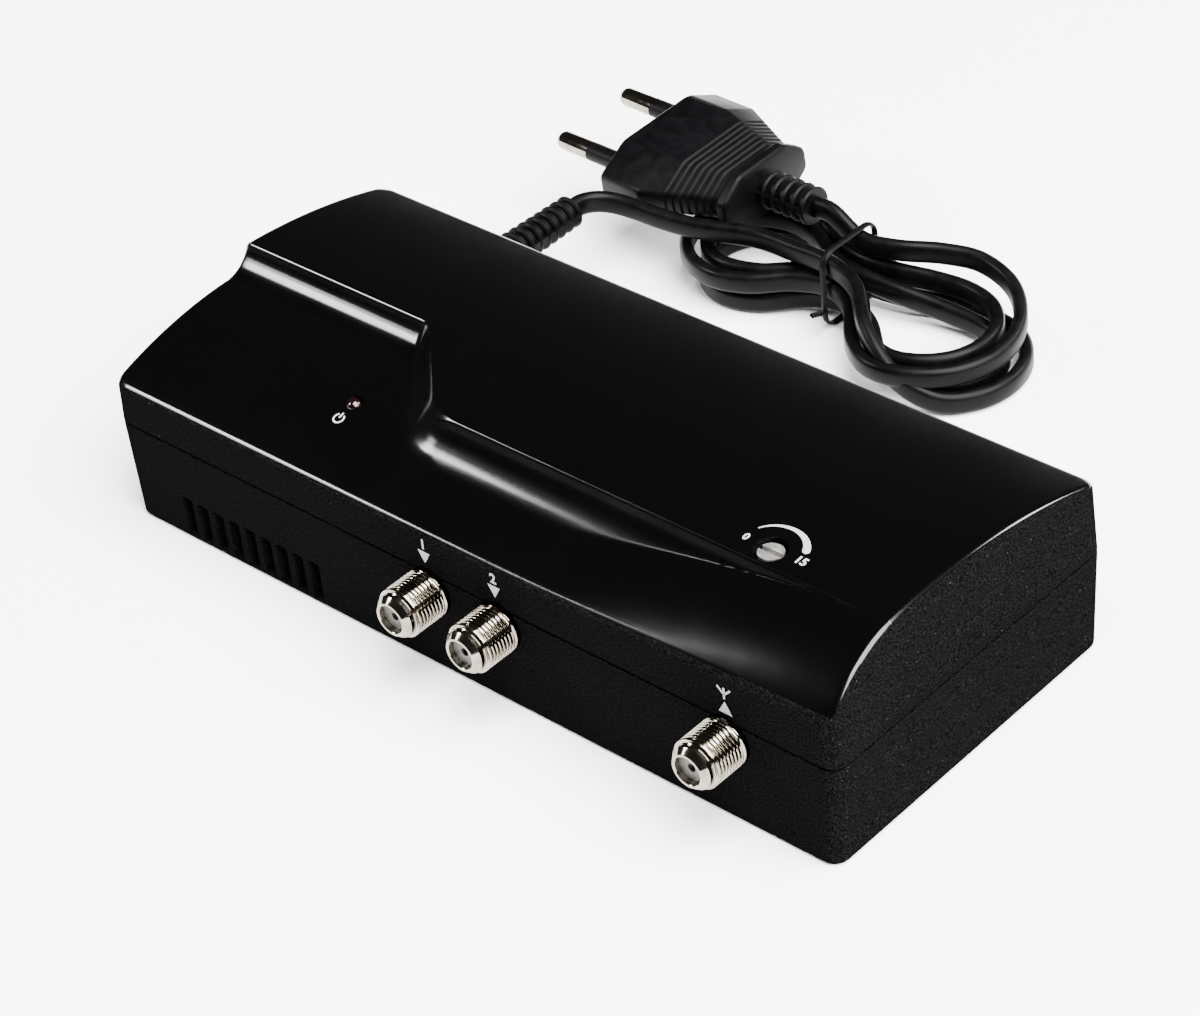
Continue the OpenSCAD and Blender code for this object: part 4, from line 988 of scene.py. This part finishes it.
# CAD nodes that show as they are, by the finish that they take
laminate = moulded("board_laminate", (0.32, 0.2, 0.07), (0.46, 0.3, 0.12), 0.45)
tin = metal("tinned_sheet", (0.5, 0.5, 0.5), (0.72, 0.72, 0.7), 0.28)
steel = metal("screw_steel", (0.42, 0.42, 0.43), (0.66, 0.66, 0.65), 0.25)
black_part = moulded("component_black", (0.008, 0.008, 0.009), (0.02, 0.02, 0.022), 0.5)
dielectric = moulded("dielectric", (0.022, 0.0205, 0.018), (0.055, 0.052, 0.046), 0.4)
brass = metal("contact_brass", (0.5, 0.36, 0.12), (0.78, 0.6, 0.26), 0.22)
rotor = metal("rotor_metal", (0.22, 0.215, 0.205), (0.42, 0.41, 0.395), 0.38, (1, 6, 1))
blue_sleeve = moulded("capacitor_sleeve", (0.01, 0.015, 0.05), (0.02, 0.03, 0.09), 0.3)
heatsink = metal("heatsink_metal", (0.45, 0.46, 0.47), (0.66, 0.67, 0.68), 0.35, (1, 1, 8))
NODE_FINISH = {
    laminate: ["circuit_board"],
    steel: ["case_screws", "board_screws"],
    tin: ["shield_can", "shield_lid", "transformer_strap", "fuse_clips"],
    black_part: ["amplifier_transistor", "rectifier_diodes", "voltage_regulator"],
    dielectric: [s + "_insulator" for s in SOCKET_X],
    brass: [s + "_contact" for s in SOCKET_X],
    moulded("ferrite", (0.03, 0.03, 0.03), (0.07, 0.068, 0.065), 0.6): ["splitter_core"],
    moulded("pot_blue", (0.02, 0.06, 0.2), (0.04, 0.1, 0.3), 0.4): ["gain_control_body"],
    rotor: ["gain_control_rotor"],
    moulded("lamp_red", (0.0015, 0.0003, 0.0003), (0.004, 0.0005, 0.0005), 0.08): ["power_led"],
    moulded("spacer_white", (0.6, 0.6, 0.57), (0.78, 0.78, 0.74), 0.5): ["led_spacer"],
    metal("laminations", (0.2, 0.19, 0.18), (0.36, 0.35, 0.33), 0.4, (1, 1, 14)): ["transformer_core"],
    moulded("bobbin_nylon", (0.5, 0.48, 0.4), (0.7, 0.68, 0.6), 0.5): ["transformer_bobbin"],
    moulded("winding_tape", (0.4, 0.25, 0.03), (0.6, 0.4, 0.06), 0.35): ["transformer_winding"],
    blue_sleeve: ["filter_capacitor", "smoothing_capacitor"],
    heatsink: ["regulator_heatsink"],
    moulded("fuse_glass", (0.5, 0.55, 0.55), (0.7, 0.74, 0.74), 0.1): ["mains_fuse"],
    moulded("wire_blue", (0.02, 0.08, 0.35), (0.04, 0.13, 0.5), 0.4): ["mains_wires"],
}
for finish, nodes in NODE_FINISH.items():
    for node in nodes:
        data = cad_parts[node].data
        data.materials.clear()
        data.materials.append(finish)


# Floor and light
def add_floor():
    f = Finish("pale_floor", Specular_IOR_Level=0.1, Roughness=0.9)
    f.colour(f.noise(400.0, 2), (0.2, 0.86), (0.8, 0.9))
    half, low, high = 3000, -0.3, -0.1
    floor = mesh_object("floor", box((-half, -half, low), (half, half, high)))
    floor.data.materials.append(f.material)


def add_light(name, at, towards, size, power, up=(0, 0, 1)):
    """Soft box of size metres, facing a place, both in metres, with its second side along up."""
    data = bpy.data.lights.new(name, "AREA")
    data.shape = "RECTANGLE"
    data.size, data.size_y = size
    data.energy = power
    light = bpy.data.objects.new(name, data)
    bpy.context.scene.collection.objects.link(light)
    back = (Vector(at) - Vector(towards)).normalized()
    across = Vector(up).cross(back).normalized()
    turn = Matrix((across, back.cross(across), back)).transposed()
    light.matrix_world = Matrix.Translation(at) @ turn.to_4x4()


def add_sky(strength):
    world = bpy.data.worlds.new("studio")
    world.use_nodes = True
    sky = world.node_tree.nodes["Background"]
    sky.inputs["Color"].default_value = (1, 1, 1, 1)
    sky.inputs["Strength"].default_value = strength
    bpy.context.scene.world = world


BAND_AIM, BAND_UP = (-0.038, -0.01, 0.036), (0, 0.706, 0.708)

add_floor()
add_sky(0.06)
add_light("overhead", (0.9, 0.0, 1.5), (0, 0, 0), (1.6, 2.0), 400)
add_light("band_back", (-0.4485, -0.2803, 0.3873), BAND_AIM, (0.095, 0.16), 3.6, BAND_UP)
add_light("band_back_low", (-0.4485, -0.365, 0.3023), BAND_AIM, (0.095, 0.08), 0.6, BAND_UP)
add_light("band_front", (-0.4, -0.3188, 0.4045), BAND_AIM, (0.03, 0.11), 0.78, BAND_UP)
add_light("band_front_end", (-0.3805, -0.3141, 0.4315), BAND_AIM, (0.02, 0.065), 0.31, BAND_UP)
add_light("rim", (0.42, 0.8, 0.5), (0.06, 0, 0.03), (0.3, 0.2), 10)
